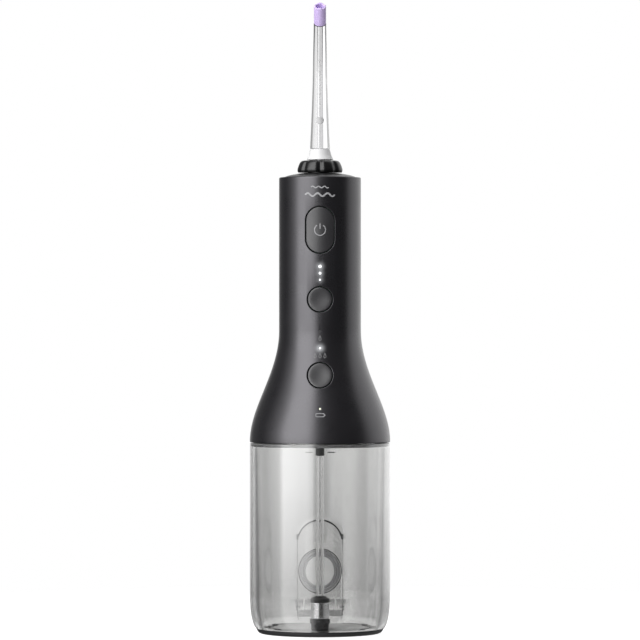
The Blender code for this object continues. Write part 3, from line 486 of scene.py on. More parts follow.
HOSE = moulded("hose_silicone", (0.62, 0.64, 0.66), 0.35, grain=1500.0, depth=0.000004)
STEEL = metal("turned_steel", (0.70, 0.70, 0.71), 0.20)
PRINT = moulded("print_grey", (0.31, 0.31, 0.32), 0.55, grain=3000.0, depth=0.000002)
FAINT_PRINT = moulded("print_dim", (0.16, 0.16, 0.165), 0.55, grain=3000.0, depth=0.000002)
SMOKE = clear_plastic("smoke_clear", (0.86, 0.86, 0.855), 1.52)
SMOKE.set(Coat_Weight=1.0, Coat_IOR=1.6)
# The nozzle's edges are painted darker: painted shade.
CLEAR = clear_plastic("nozzle_clear", (0.90, 0.90, 0.905), 1.46, edge_shade_tint=(0.5, 0.5, 0.505), shadow=0.782)
TUBE = clear_plastic("tube_clear", (0.95, 0.95, 0.95), 1.42)
DOOR_CLEAR = clear_plastic("door_clear", (0.93, 0.93, 0.925), 1.50)
# Pale frosted plastic for the hinge ribs; the same pale colour paints highlight strips by the door and a
# bright disc on its plug.
FROST_AND_PAINTED_LIGHT = moulded("frosted_rib_and_painted_light", (0.80, 0.80, 0.80), 0.5, grain=2500.0)
# Grey for a thin disc of painted shade on the tank's floor.
FLOOR_SHADE_GREY = moulded("floor_shade_grey", (0.62, 0.62, 0.62), 0.8, grain=2500.0, shine=0.0)
PALE_GREY = moulded("pale_grey", (0.50, 0.50, 0.505), 0.6, grain=2500.0, depth=0.000002)
LED_WHITE = lit("led_white", COOL_WHITE, 1.6)
LED_OFF = moulded("led_off", (0.03, 0.03, 0.03), 0.3, grain=3000.0, depth=0.000002)
LED_GREEN = lit("led_green", (0.62, 0.70, 0.12, 1.0), 0.45)


def dress(obj, m):
    obj.data.materials.clear()
    obj.data.materials.append(m.material)
    return obj


def place(obj, body, m, slot, *nodes):
    """Gives a finished piece its material and its body, and hides the CAD nodes it stands for."""
    dress(obj, m)
    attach(obj, body)
    if nodes:
        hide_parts(*nodes)
    return obj


# ---------------------------------------------------------------- handle shell and cap


def shell_profile():
    """The handle's outer line down the flare, and the same line again one wall further in."""
    steps, nudge = 36, 0.01
    points = [(GRIP_RADIUS - SHELL_WALL, SHELL_TOP_Z, 0.12), (GRIP_RADIUS, SHELL_TOP_Z, 0.5)]
    for i in range(steps + 1):
        points.append(tuple(flare_point(i / steps)))
    points += [(TANK_RADIUS, SEAM_Z, 0.2), (TANK_RADIUS - SHELL_WALL, SEAM_Z)]
    for i in range(steps, -1, -3):
        p = flare_point(i / steps)
        a, b = flare_point(max(i / steps - nudge, 0)), flare_point(min(i / steps + nudge, 1))
        along = (b - a).normalized()
        points.append((p.x + along.y * SHELL_WALL, p.y - along.x * SHELL_WALL))
    return rounded(points)


def handle_shell():
    shell = lathe("shell", shell_profile())
    power_hole = slot_outline(POWER_WIDTH + 2 * BUTTON_GAP, POWER_HEIGHT + 2 * BUTTON_GAP, POWER_Z)
    cutters = [
        opening_cutter("power", power_hole),
        opening_cutter("intensity", circle_outline(ROUND_RADIUS + BUTTON_GAP, INTENSITY_Z)),
        opening_cutter("mode", circle_outline(ROUND_RADIUS + BUTTON_GAP, MODE_Z), reach=5.0),
        opening_cutter("release", circle_outline(RELEASE_RADIUS + BUTTON_GAP, RELEASE_Z), side=1),
        opening_cutter("port", box_outline(11.8, 9.0, 1.6, PORT_OPENING_Z), fillet=0.25, side=1),
    ]
    for z, radius in (*INTENSITY_LIGHTS, *MODE_LIGHTS, BATTERY_LIGHT):
        cutters.append(opening_cutter("light", circle_outline(radius + 0.08, z, 32), fillet=0.08))
    boolean(shell, "DIFFERENCE", merged("openings", cutters))
    smoothed(shell, "shell_outer", 32.0)
    place(shell, "handle", SATIN, "satin_black", "handle_shell")


def top_cap():
    dome = [(17.15, 212.8), (17.15, 216.85, 0.2), (16.3, 217.22), (15.0, 217.62), (13.1, 218.06)]
    dome += [(11.0, 218.44), (8.2, 218.76), (6.25, 218.85, 0.15)]
    under = [(6.25, 215.1), (15.4, 214.9), (15.4, 212.8)]
    place(lathe("cap_dome", rounded(dome + under)), "handle", CAP_BLACK, "satin_black", "top_cap")


# ---------------------------------------------------------------- buttons


def button(name, outline, centre_z, body, node, dish, side=-1, back=3.4):
    """A cap that fills its opening, with a rolled edge and a face that is dished (dish > 0) or crowned."""
    edge, edge_steps, face_steps = 0.38, 6, 14
    rings = [surface_ring(outline, 0.0, back, side)]
    for i in range(edge_steps + 1):
        a = math.radians(90) * i / edge_steps
        inward, depth = -edge * (1 - math.cos(a)), BUTTON_INSET + edge * (1 - math.sin(a))
        rings.append(surface_ring(outline, inward, depth, side))
    for i in range(1, face_steps):
        scale = 1 - i / face_steps
        depth = BUTTON_INSET + dish * (1 - scale**2) ** 1.6
        rings.append(surface_ring(outline, -edge, depth, side, scale, centre_z))
    rings.append(surface_ring(outline, -edge, BUTTON_INSET + dish, side, 0.01, centre_z))
    return place(grid_solid(name, rings, closed_rings=False), body, BUTTON, "satin_black", node)


def buttons():
    power = slot_outline(POWER_WIDTH, POWER_HEIGHT, POWER_Z)
    button("power_cap", power, POWER_Z, "power", "power_button", POWER_DISH)
    for name, z in (("intensity", INTENSITY_Z), ("mode", MODE_Z)):
        button(f"{name}_cap", circle_outline(ROUND_RADIUS, z), z, name, f"{name}_button", ROUND_DISH)
    release = circle_outline(RELEASE_RADIUS, RELEASE_Z)
    button("release_cap", release, RELEASE_Z, "release", "release_button", RELEASE_DISH, 1, 3.0)
    flap = box_outline(11.0, 8.1, 1.3, PORT_Z)
    cover = button("port_flap", flap, PORT_Z, "port_cover", "charging_port_cover", 0.0, 1, 1.9)
    dress(cover, INNER_BLACK)


# ---------------------------------------------------------------- lights and printed marks


def light_lens(name, z, radius, m):
    outline = circle_outline(radius, z, 32)
    rings = [surface_ring(outline, 0.0, 3.0), surface_ring(outline, -0.06, 0.0)]
    rings.append(surface_ring(outline, 0.0, -0.02, scale=0.5, centre_z=z))
    rings.append(surface_ring(outline, 0.0, -0.04, scale=0.02, centre_z=z))
    place(grid_solid(name, rings, closed_rings=False), "handle", m, "light_guide")


def lights():
    for i, (z, radius) in enumerate(INTENSITY_LIGHTS, 1):
        light_lens(f"intensity_light_{i}", z, radius, LED_WHITE)
    light_lens("mode_light_1", *MODE_LIGHTS[0], LED_OFF)
    light_lens("mode_light_2", *MODE_LIGHTS[1], LED_WHITE)
    light_lens("battery_light", *BATTERY_LIGHT, LED_GREEN)


def printed_band(name, path, width, closed, base=0.0):
    """A thin line of print along (x, z) points on the front surface, at base inside it."""
    path = [Vector(p) for p in path]
    ends = list(zip(path, path[1:])) + ([(path[-1], path[0])] if closed else [])
    longest, proud = 0.3, 0.012
    fine = []
    for a, b in ends:
        count = max(1, math.ceil((b - a).length / longest))
        fine += [a.lerp(b, i / count) for i in range(count)]
    if not closed:
        fine.append(path[-1])
    rings = []
    count = len(fine)
    for i, point in enumerate(fine):
        before = fine[(i - 1) % count] if closed or i else fine[0]
        after = fine[(i + 1) % count] if closed or i < count - 1 else fine[-1]
        along = (after - before).normalized()
        side = Vector((-along.y, along.x)) * width / 2
        low, high = base + MARK_DEPTH, base - proud
        corners = ((point - side, low), (point + side, low), (point + side, high), (point - side, high))
        rings.append([on_handle(p.x, p.y, depth) for p, depth in corners])
    return grid_solid(name, rings, closed_rings=closed)


def arc(radius, z, start, end, steps):
    """Points round (0, z) from one angle to another, in degrees."""
    turns = [math.radians(start + (end - start) * i / steps) for i in range(steps + 1)]
    return [(radius * math.cos(a), z + radius * math.sin(a)) for a in turns]


def wave(first_x, count, z, height, length):
    """Points along a sine wave, a quarter of a millimetre apart across."""
    return [(first_x + 0.25 * i, z + height * math.sin(2 * math.pi * i / length)) for i in range(count)]


def drop_outline(x, z):
    """A water drop: a round belly and a point at the top."""
    size, steps = 1.15, 20
    points = []
    for i in range(steps):
        a = 2 * math.pi * i / steps
        narrow = math.sin(a / 2) ** 1.5
        points.append((x + size * 0.62 * math.sin(a) * narrow, z + size * math.cos(a)))
    return points


def marks():
    face = BUTTON_INSET + POWER_DISH
    ring = printed_band("ring", arc(2.6, POWER_Z, 124, 416, 40), 0.42, False, face)
    bar = printed_band("bar", [(0, POWER_Z + 0.5), (0, POWER_Z + 3.1)], 0.42, False, face)
    place(merged("power_mark", [ring, bar]), "power", PRINT, "light_guide")
    large, small = wave(-7.0, 57, 208.0, 0.75, 18.7), wave(-4.2, 34, 211.6, 0.4, 11.2)
    bands = [printed_band("wave", large, 0.75, False), printed_band("wave", small, 0.5, False)]
    place(merged("wave_mark", bands), "handle", PRINT, "light_guide")
    spots = ((0, 140.4), (-2.3, 132.2), (0.0, 132.2), (2.3, 132.2))
    drops = [printed_band("drop", drop_outline(x, z), 0.3, True) for x, z in spots]
    place(merged("mode_marks", drops), "handle", FAINT_PRINT, "light_guide")
    cell = [(x, z) for x, z, _, _ in box_outline(3.9, 1.5, 0.4, 104.3, 4)]
    outline = printed_band("cell", cell, 0.26, True)
    tip = printed_band("cell_tip", [(2.3, 104.0), (2.3, 104.6)], 0.3, False)
    place(merged("battery_mark", [outline, tip]), "handle", PRINT, "light_guide")


# ---------------------------------------------------------------- knob and nozzle


def knob():
    """A glossy ring with eight soft lobes round it, narrowing towards the top."""
    top = KNOB_TOP_Z
    inner = [(5.9, 219.15), (5.9, 212.4), (7.0, 212.3), (7.0, 211.25), (3.95, 211.2), (3.95, top - 1.2)]
    inner += [(4.3, top - 0.9), (6.3, top - 0.9), (6.7, top - 0.1), (6.9, top)]
    side = [(8.3, top), (8.8, 224.55), (9.2, 224.3), (9.6, 223.9), (9.92, 223.4), (10.2, 222.8)]
    side += [(10.55, 221.9), (10.85, 221.0), (11.0, 220.2), (10.85, 219.5), (10.6, 219.15)]
    rings = [ring_round(r, z) for r, z in inner] + [ring_lobed(r, z) for r, z in side]
    place(grid_solid("knob_lobed", rings, sharp=40), "knob", GLOSS, "gloss_black", "nozzle_knob")


def ring_lobed(radius, z):
    """A ring drawn in by a narrow valley between lobes; one valley faces the front."""
    ring = []
    for i in range(TURN_STEPS):
        a = 2 * math.pi * i / TURN_STEPS
        valley = abs(math.cos(LOBES / 2 * a)) ** 9
        ring.append((*spoke(radius - LOBE_DEPTH * valley, a), z))
    return ring


def bend_point(angle):
    """The nozzle's centre line where it has turned by angle."""
    return Vector((0, -BEND_RADIUS * (1 - math.cos(angle)), BEND_Z + BEND_RADIUS * math.sin(angle)))


def bent_rings(stations):
    """Rings across the nozzle's centre line, from (distance along it, radius) stations."""
    steps, rings = 48, []
    for along, radius in stations:
        if along <= 0:
            centre, angle = Vector((0, 0, BEND_Z + along)), 0.0
        elif along <= BEND_LENGTH:
            angle = along / BEND_RADIUS
            centre = bend_point(angle)
        else:
            angle = TIP_ANGLE
            onward = Vector((0, -math.sin(angle), math.cos(angle)))
            centre = bend_point(BEND_ANGLE) + onward * (along - BEND_LENGTH)
        across = Vector((0, math.cos(angle), math.sin(angle)))
        ring = []
        for i in range(steps):
            x, y = spoke(radius, 2 * math.pi * i / steps)
            ring.append(centre + Vector((x, 0, 0)) + across * y)
        rings.append(ring)
    return rings


def nozzle_radius(z):
    """The shaft tapers quickly from the collar and more slowly towards the tip."""
    taper = [(231.0, 4.72), (238.6, 4.34), (250.0, 3.87), (261.4, 3.5)]
    taper += [(272.9, 3.30), (284.3, 3.06), (291.0, 2.92)]
    for (z0, r0), (z1, r1) in zip(taper, taper[1:]):
        if z <= z1:
            return r0 + (r1 - r0) * (z - z0) / (z1 - z0)
    return taper[-1][1]


def nozzle_shaft():
    """The clear shaft: a groove for its o-ring, a taper, a bend, a stub for the tip and a bore through it."""
    low = cad("nozzle_shaft")[0].z
    stem = [(low, 3.2), (low + 0.4, 3.6), (206.3, 3.6), (206.35, 3.1), (208.05, 3.1), (208.1, 3.6)]
    stem += [(230.3, 3.6), (230.45, 4.5), (230.7, 4.72)]
    outer = [(z - BEND_Z, radius) for z, radius in stem]
    steps, first = 39, COLLAR_TOP_Z - BEND_Z
    for i in range(steps + 1):
        along = first + (BEND_LENGTH - first) * i / steps
        height = BEND_Z + (along if along <= 0 else BEND_RADIUS * math.sin(along / BEND_RADIUS))
        outer.append((along, nozzle_radius(height)))
    outer += [(BEND_LENGTH + 0.1, 2.6), (BEND_LENGTH + 0.2, 1.9), (BEND_LENGTH + 4.2, 1.9)]
    bore_radius, bore_steps, bore_top, bottom = 1.0, 24, BEND_LENGTH + 3.5, low - BEND_Z
    bore = [(BEND_LENGTH + 4.2, bore_radius)]
    for i in range(bore_steps, -1, -1):
        bore.append((bottom + (bore_top - bottom) * i / bore_steps, bore_radius))
    shaft = grid_solid("shaft_clear", bent_rings(outer + bore))
    place(shaft, "nozzle", CLEAR, "clear", "nozzle_shaft")


def nozzle_pad():
    """A blank raised disc on the front of the shaft, where a mark would sit."""
    centre_z, radius, steps = 243.8, 1.8, 40
    front = nozzle_radius(centre_z)
    rings = []
    for scale, lift in ((1.0, -0.35), (1.0, 0.12), (0.92, 0.22), (0.5, 0.24), (0.02, 0.24)):
        ring = []
        for i in range(steps):
            x, z = spoke(radius * scale, 2 * math.pi * i / steps)
            ring.append((x, -math.sqrt(front**2 - x**2) - lift, centre_z + z))
        rings.append(ring)
    pad = grid_solid("shaft_pad", rings, closed_rings=False)
    place(pad, "nozzle", PALE_GREY, "clear")


def shaft_dashes():
    """A column of plain dashes up the front of the shaft."""
    first_z, pitch, length, half = 251.0, 2.3, 1.5, 0.42
    section = ((-half, 0.03), (half, 0.03), (half, -0.1), (-half, -0.1))
    dashes = []
    for k in range(10):
        heights = [first_z + pitch * k + length * i / 4 for i in range(5)]
        rings = [[shaft_front(z, x, lift) for x, lift in section] for z in heights]
        dashes.append(grid_solid("dash", rings, closed_rings=False))
    place(merged("shaft_dashes", dashes), "nozzle", PALE_GREY, "clear")


def shaft_front(z, x, lift):
    """A point on the front of the bent shaft, lift above its surface."""
    angle = math.asin(max(0.0, (z - BEND_Z) / BEND_RADIUS))
    centre = Vector((0, -BEND_RADIUS * (1 - math.cos(angle)), z))
    out = math.sqrt(nozzle_radius(z) ** 2 - x**2) + lift
    return centre + Vector((x, -math.cos(angle) * out, -math.sin(angle) * out))


def nozzle_tip():
    """A soft sleeve whose open end waves down between four lobes."""
    steps = 96
    side = [(2.05, 0.3, 0.1), (2.87, 0.3, 0.25), *((2.86, z) for z in (3.0, 5.0, 7.0, 8.4, 9.4))]
    mouth = [(2.86, TIP_LENGTH, 0.45), (1.9, TIP_LENGTH, 0.4), (1.85, 9.2), (1.8, 8.0)]
    inside = [(1.7, 6.6, 0.3), (0.8, 5.6, 0.3), (0.8, 4.6), (2.05, 4.6)]
    rings = []
    for r, z in rounded(side + mouth + inside):
        share = max(0.0, min(1.0, (z - TIP_WAVE_START) / (TIP_LENGTH - TIP_WAVE_START)))
        ring = []
        for i in range(steps):
            a = 2 * math.pi * i / steps
            drop = TIP_WAVE * math.sin(2 * a) ** 2 * share**1.5
            ring.append((*spoke(r, a), z - drop))
        rings.append(ring)
    tip = grid_solid("tip_lavender", rings, sharp=50)
    turned_about(tip, Matrix.Rotation(TIP_ANGLE, 4, "X"), bend_point(BEND_ANGLE))
    place(tip, "nozzle", LAVENDER, "lavender", "nozzle_tip")


def nozzle_collar():
    low, high = cad("nozzle_collar")
    profile = [(3.7, high.z), (4.6, high.z, 0.12), (4.95, 229.0), (5.45, 227.2), (6.1, 225.7)]
    profile += [(6.5, low.z, 0.2), (3.7, low.z)]
    place(lathe("collar_cone", rounded(profile), 96), "nozzle", WHITE, "white", "nozzle_collar")


# ---------------------------------------------------------------- reservoir


def door_arch(half, bottom):
    """The door's outline of (x, z) points: upright sides under a half circle."""
    steps, points = 40, [(half, bottom)]
    for i in range(steps + 1):
        x, z = spoke(half, math.pi * i / steps)
        points.append((x, DOOR_ARCH_Z + z))
    points.append((-half, bottom))
    return points


def upright_prism(name, outline, low_y, high_y):
    """An outline of (x, z) points given a thickness along Y."""
    rings = [[(x, y, z) for x, z in outline] for y in (low_y, high_y)]
    return grid_solid(name, rings, closed_rings=False)


def box_solid(name, low, high, bevel=0.0):
    shape = bmesh.new()
    low, high = Vector(low) * MM, Vector(high) * MM
    sized = Matrix.Translation((low + high) / 2) @ Matrix.Diagonal((*(high - low), 1.0))
    bmesh.ops.create_cube(shape, size=1.0, matrix=sized)
    if bevel:
        edges = shape.edges[:]
        bmesh.ops.bevel(shape, geom=edges, offset=bevel * MM, segments=3, affect="EDGES", profile=0.5)
    return finish_mesh(name, shape)


def pin_solid(name, radius, start, end, steps=40):
    """A round bar from one point to another."""
    start, end = Vector(start), Vector(end)
    turn = (end - start).to_track_quat("Z", "Y").to_matrix()
    rings = [[centre + turn @ Vector(p) for p in ring_round(radius, 0, steps)] for centre in (start, end)]
    return grid_solid(name, rings, closed_rings=False)


TANK_OUTSIDE = [(TANK_RADIUS, 90.6, 0.4), (TANK_RADIUS, 19.0), (33.33, 15.4), (33.05, 10.6), (32.65, 8.0)]
TANK_OUTSIDE += [(32.14, 5.8), (31.62, 4.2), (31.0, 3.0), (30.6, 2.4, 0.15)]
TANK_OUTSIDE += [(23.7, 2.4), (23.7, 0.35, 0.15), (0.0, 0.35)]
TANK_INSIDE = [(0.0, 3.0), (26.95, 3.0, 0.12), (27.52, 4.2), (28.04, 5.8), (28.55, 8.0), (28.95, 10.6)]
TANK_INSIDE += [(29.23, 15.4), (29.3, 20.0), (30.5, 88.9, 0.4), (29.9, 89.4, 0.2), (26.2, 89.6, 0.15)]
TANK_INSIDE += [(26.2, 94.5, 0.2), (28.2, 94.5, 0.3), (28.2, 90.6)]


def tank():
    """The clear cup: a turned wall, a flat pad and a hinge block behind it, and the pocket for the door."""
    body = lathe("tank_body", rounded(TANK_OUTSIDE + TANK_INSIDE), 288)
    pad_half, hinge_bore = 13.2, 1.08
    pad = upright_prism("pad", door_arch(pad_half, -1.0), POCKET_FLOOR_Y - 1.8, 31.9)
    block = box_solid("block", (-pad_half, 25.9, 2.9), (pad_half, 31.2, 14.0), 0.3)
    for extra in (pad, block):
        limit = lathe("limit", rounded([*TANK_OUTSIDE, (0.0, 90.6)]))
        shrink_inwards(limit, 0.15)
        boolean(extra, "INTERSECT", limit)
        boolean(body, "UNION", extra)
    half, pocket_bottom = DOOR_HALF_WIDTH + DOOR_GAP, 5.5
    pocket = upright_prism("pocket", door_arch(half, pocket_bottom), POCKET_FLOOR_Y, 40)
    deep = box_solid("deep", (-half, 27.4, pocket_bottom), (half, 31, 12.2))
    hole = pin_solid("hole", FILL_HOLE_RADIUS, (0, 20, FILL_HOLE_Z), (0, 36, FILL_HOLE_Z), 96)
    for cutter in (pocket, deep, hole, *hinge_ends("bore", hinge_bore, 11.0, 12.4)):
        boolean(body, "DIFFERENCE", cutter)
    smoothed(body, "tank_clear")
    # A thin grey disc over the tank's inner floor: painted shade for the darker grey the bottom of the tank
    # shows.
    plate = lathe("floor_shade_plate", [(27.2, 2.9), (27.2, 3.1), (0.0, 3.1), (0.0, 2.9)])
    place(plate, "reservoir", FLOOR_SHADE_GREY, "smoke_clear")
    lip = lathe("lip_ring", [(33.0, 89.8), (33.0, 90.0), (26.6, 90.0), (26.6, 89.8)])
    place(lip, "reservoir", PALE_GREY, "smoke_clear")
    place(body, "reservoir", SMOKE, "smoke_clear", "reservoir_tank")


def fill_mark():
    """A short printed line each side of the tube that shows how far to fill."""
    near_turn, turn, steps = 7.0, 7.0, 8
    section = ((30.35, 84.2), (30.35, 84.65), (30.28, 84.65), (30.28, 84.2))
    bars = []
    for side in (-1, 1):
        turns = [math.radians(90 + side * (near_turn + turn * i / steps)) for i in range(steps + 1)]
        rings = [[(*spoke(r, a), z) for r, z in section] for a in turns]
        bars.append(grid_solid("bar", rings, closed_rings=False))
    place(merged("fill_mark", bars), "reservoir", SEAL_AND_SHADE, "seal_rubber")


def hinge_ends(name, radius, inner, outer):
    """The two short ends of a rod along the door's hinge line."""
    line = (DOOR_HINGE_Y, DOOR_HINGE_Z)
    return [pin_solid(name, radius, (a, *line), (b, *line)) for a, b in ((-outer, -inner), (inner, outer))]


def door_details():
    """A dark strip that paints the shade in the gap round the top of the door's pocket, two catches, the
    hinge ribs, pale strips painted as highlights beside the door's sides, and fine dark lines painted as
    shade along the door's edges and round the fill hole.
    """
    strip_turn, steps = 18, 60
    section = [(11.15, 29.0), (11.85, 29.0), (11.85, 31.2), (11.15, 31.2)]
    rings = []
    for i in range(steps + 1):
        a = math.radians(strip_turn + (180 - 2 * strip_turn) * i / steps)
        rings.append([(r * math.cos(a), y, DOOR_ARCH_Z + r * math.sin(a)) for r, y in section])
    # The strip is painted shade: a dark sheet where the gap above the door lies in shadow.
    place(grid_solid("door_gap_shade_strip", rings, closed_rings=False), "reservoir", SEAL_AND_SHADE, "seal_rubber")
    catches = []
    for turn in (strip_turn, 180 - strip_turn):
        x, z = spoke(11.9, math.radians(turn))
        z += DOOR_ARCH_Z
        catches.append(box_solid("catch", (x - 0.55, 27.6, z - 1.4), (x + 0.55, 30.4, z + 1.2), 0.3))
    place(merged("door_catches", catches), "reservoir", SEAL_AND_SHADE, "seal_rubber")
    ribs_and_highlights = [box_solid("rib", (x - 0.4, 25.3, 9.0), (x + 0.4, 26.1, 13.9), 0.15) for x in (-7.9, 7.9)]
    # Two thin pale strips beside the door's sides: painted highlights.
    ribs_and_highlights += [box_solid("rib", (x - 0.11, 29.22, 4.0), (x + 0.11, 29.5, 43.6), 0.02) for x in (-11.42, 11.42)]
    place(merged("hinge_ribs_and_highlights", ribs_and_highlights), "reservoir", FROST_AND_PAINTED_LIGHT, "smoke_clear")
    # Fine dark lines along the door's sides and a dark ring round the fill hole: painted shade at these
    # edges.
    lines = [box_solid("line", (x - 0.08, 29.22, 4.0), (x + 0.08, 29.6, 43.4), 0.02) for x in (-11.63, 11.63)]
    rim = lathe("rim", [(10.5, 0.0), (10.95, 0.0), (10.95, 0.35), (10.5, 0.35)], 96)
    lines.append(facing_back(rim, 27.2, FILL_HOLE_Z))
    place(merged("door_edge_shade_lines", lines), "reservoir", SEAL_AND_SHADE, "seal_rubber")


def shrink_inwards(obj, inset):
    """Moves every point towards the upright axis."""
    for vertex in obj.data.vertices:
        flat = Vector((vertex.co.x, vertex.co.y))
        if flat.length > inset * MM:
            vertex.co.x, vertex.co.y = flat * (1 - inset * MM / flat.length)


def foot():
    high = cad("foot_ring")[1].z
    profile = [(24.0, high), (30.4, high, 0.2), (29.8, 1.1), (29.1, 0.35), (28.3, 0.0, 0.3)]
    profile += [(24.6, 0.0, 0.2), (24.0, 0.6)]
    place(lathe("foot_band", rounded(profile)), "reservoir", SEAL_AND_SHADE, "seal_rubber", "foot_ring")


def fill_door():
    """The door: an arched slab under the tank's own curve, dished outside, with a plug and its stub pins."""
    door = upright_prism("door", door_arch(DOOR_HALF_WIDTH, 8.8), DOOR_INNER_Y, 36)
    edge = TANK_RADIUS - 0.1
    skin = [(edge, 60), (edge, 19), (33.2, 15.0), (32.9, 10.6), (32.4, 7.5), (31.5, 5.0)]
    skin += [(0.0, 5.0), (0.0, 60.0)]
    boolean(door, "INTERSECT", lathe("skin", skin))
    bowl = [(0.0, -1.35), (4.0, -1.15), (7.0, -0.75), (9.6, 0.0), (10.4, 0.45), (10.7, 2.0)]
    bowl += [(10.7, 6.0), (0.0, 6.0)]
    boolean(door, "DIFFERENCE", facing_back(lathe("dish", bowl, 96), TANK_RADIUS - 0.3, 32.0))
    plug = pin_solid("plug", 7.2, (0, 26.7, FILL_HOLE_Z), (0, 30.2, FILL_HOLE_Z), 72)
    for extra in (*hinge_ends("pins", 1.0, 10.2, 12.2), plug):
        boolean(door, "UNION", extra)
    smoothed(door, "door_clear")
    place(door, "door", DOOR_CLEAR, "smoke_clear", "fill_door")


def door_seal():
    """A soft ring with two lips round the door's plug, and a pale disc on the plug's inner end, painted light
    for the brighter plug.
    """
    profile = [(7.3, 2.2, 0.2), (7.3, 0.0, 0.15), (8.1, -0.1, 0.15), (8.3, 0.6, 0.1), (8.5, 0.6, 0.1)]
    profile += [(8.7, -0.2, 0.15), (9.5, 0.1, 0.15), (9.65, 0.8, 0.1), (9.85, 0.8, 0.1)]
    profile += [(10.3, 0.5, 0.15), (10.3, 2.2, 0.2)]
    ring = facing_back(lathe("door_ring", rounded(profile), 96), 27.0, FILL_HOLE_Z)
    place(ring, "door", SILICONE, "silicone", "door_seal")
    # The pale disc is painted light: it brightens the plug, where the view passes fewer clear walls.
    face = lathe("plug_light_disc", rounded([(0.0, 0.0), (7.1, 0.0, 0.2), (7.1, 0.6), (0.0, 0.6)]), 96)
    place(facing_back(face, 26.3, FILL_HOLE_Z), "door", FROST_AND_PAINTED_LIGHT, "silicone")


# ---------------------------------------------------------------- pickup in the water


def pickup():
    steps, slots, top = 96, 12, 83.6
    outer = [(1.95, top - 0.6 * i) for i in range(127)]
    tube = lathe("pickup_hose", [(0.95, 8.0), (0.95, top), *outer], 64)
    place(tube, "pickup", TUBE, "hose", "suction_tube")
    flange = [(2.05, 17.4), (2.6, 17.4, 0.2), (3.3, 16.9, 0.4), (4.62, 16.2, 0.4)]
    flange += [(4.62, 14.65, 0.15), (2.05, 14.65)]
    place(lathe("flange_ring", rounded(flange), steps), "pickup", INNER_BLACK, "inner_black", "pickup_flange")
    weight = rounded([(2.05, 14.5), (4.4, 14.5, 0.15), (4.4, 7.1, 0.15), (2.05, 7.1)])
    place(lathe("weight_sleeve", weight, steps), "pickup", STEEL, "steel", "pickup_weight")
    cap = [(0.0, 6.95), (4.77, 6.95, 0.2), (4.77, 5.3, 0.4), (4.25, 4.6, 0.3), (4.2, 3.15, 0.3), (0.0, 3.15)]
    body = lathe("filter_cap", rounded(cap), steps)
    for i in range(slots):
        slot = box_solid("filter_slot", (3.6, -0.3, 3.5), (6.0, 0.3, 4.4))
        turn = Matrix.Rotation(2 * math.pi * i / slots, 4, "Z")
        boolean(body, "DIFFERENCE", turned_about(slot, turn, (0, 0, 0)))
    place(body, "pickup", INNER_BLACK, "inner_black", "pickup_filter")


def suction_fitting():
    profile = [(0.8, 93.2), (1.5, 93.2), (1.5, 90.1), (2.1, 90.1, 0.2), (2.1, 84.0, 0.3), (0.8, 84.0)]
    piece = lathe("fitting_barb", rounded(profile), 48)
    boolean(piece, "UNION", pin_solid("spigot", 0.9, (0, 1.1, 92.2), (0, 4.6, 92.2), 24))
    place(piece, "handle", INNER_BLACK, "inner_black", "suction_fitting")


def deck():
    """The black floor of the handle that plugs the reservoir's neck, with its seal."""
    profile = [(29.3, 98.6), (29.3, 96.6, 0.2), (25.0, 96.6), (25.0, 94.0), (24.4, 94.0), (24.4, 92.4)]
    profile += [(25.0, 92.4), (25.0, 90.3, 0.5), (0.0, 90.3), (0.0, 91.1), (23.4, 91.1), (23.4, 98.6)]
    floor = lathe("deck_floor", rounded(profile))
    boolean(floor, "DIFFERENCE", pin_solid("fitting_hole", 1.65, (0, 0, 89), (0, 0, 92), 48))
    for angle in (30, 150, 270):
        x, y = spoke(27.6, math.radians(angle))
        boolean(floor, "DIFFERENCE", pin_solid("screw_hole", 1.3, (x, y, 96), (x, y, 99), 32))
    place(floor, "handle", INNER_BLACK, "inner_black", "lower_deck")
    seal = [(25.2, 93.9, 0.2), (26.0, 93.6, 0.3), (26.0, 92.8, 0.3), (25.2, 92.5, 0.2)]
    seal += [(24.6, 92.6), (24.6, 93.8)]
    place(lathe("deck_ring", rounded(seal)), "handle", SEAL_AND_SHADE, "seal_rubber", "deck_seal")


# ---------------------------------------------------------------- the CAD nodes that stay

KEPT = {
    "circuit_board": BOARD,
    "power_switch": GREY,
    "intensity_switch": GREY,
    "mode_switch": GREY,
    "intensity_light_guide": GREY,
    "mode_light_guide": GREY,
    "battery_light_guide": GREY,
    "battery_cell": WRAP,
    "motor": STEEL,
    "chassis": GREY,
    "gearbox_frame": GREY,
    "gear_axle": STEEL,
    "pump_cylinder": GREY,
    "pump_head": GREY,
    "inlet_valve": STEEL,
    "outlet_valve": STEEL,
    "inlet_hose": HOSE,
    "delivery_hose": HOSE,
    "nozzle_seat": GREY,
    "knob_seal": SEAL_AND_SHADE,
    "charging_socket": GREY,
    "deck_screw_1": STEEL,
    "deck_screw_2": STEEL,
    "deck_screw_3": STEEL,
    "motor_screw_1": STEEL,
    "motor_screw_2": STEEL,
    "release_spring": STEEL,
    "release_latch": STEEL,
    "nozzle_o_ring": SEAL_AND_SHADE,
    "crank_gear": NATURAL,
    "motor_shaft": STEEL,
    "motor_pinion": STEEL,
    "piston": NATURAL,
    "piston_seal": SEAL_AND_SHADE,
    "wrist_pin": STEEL,
    "connecting_rod": NATURAL,
}


def finish_kept():
    for name, m in KEPT.items():
        node = frame["nodes"][name]
        for slot in node.material_slots:
            slot.material = m.material


# ---------------------------------------------------------------- stage

CAMERA_DISTANCE, CAMERA_Z = 1930.0, 148.9
LENS, SENSOR = 228.0, 36.0
FLOOR_RADIUS, FLOOR_DROP = 360.0, 0.2
FLOOR_FADE_START, FLOOR_FADE_END = 100.0, 340.0

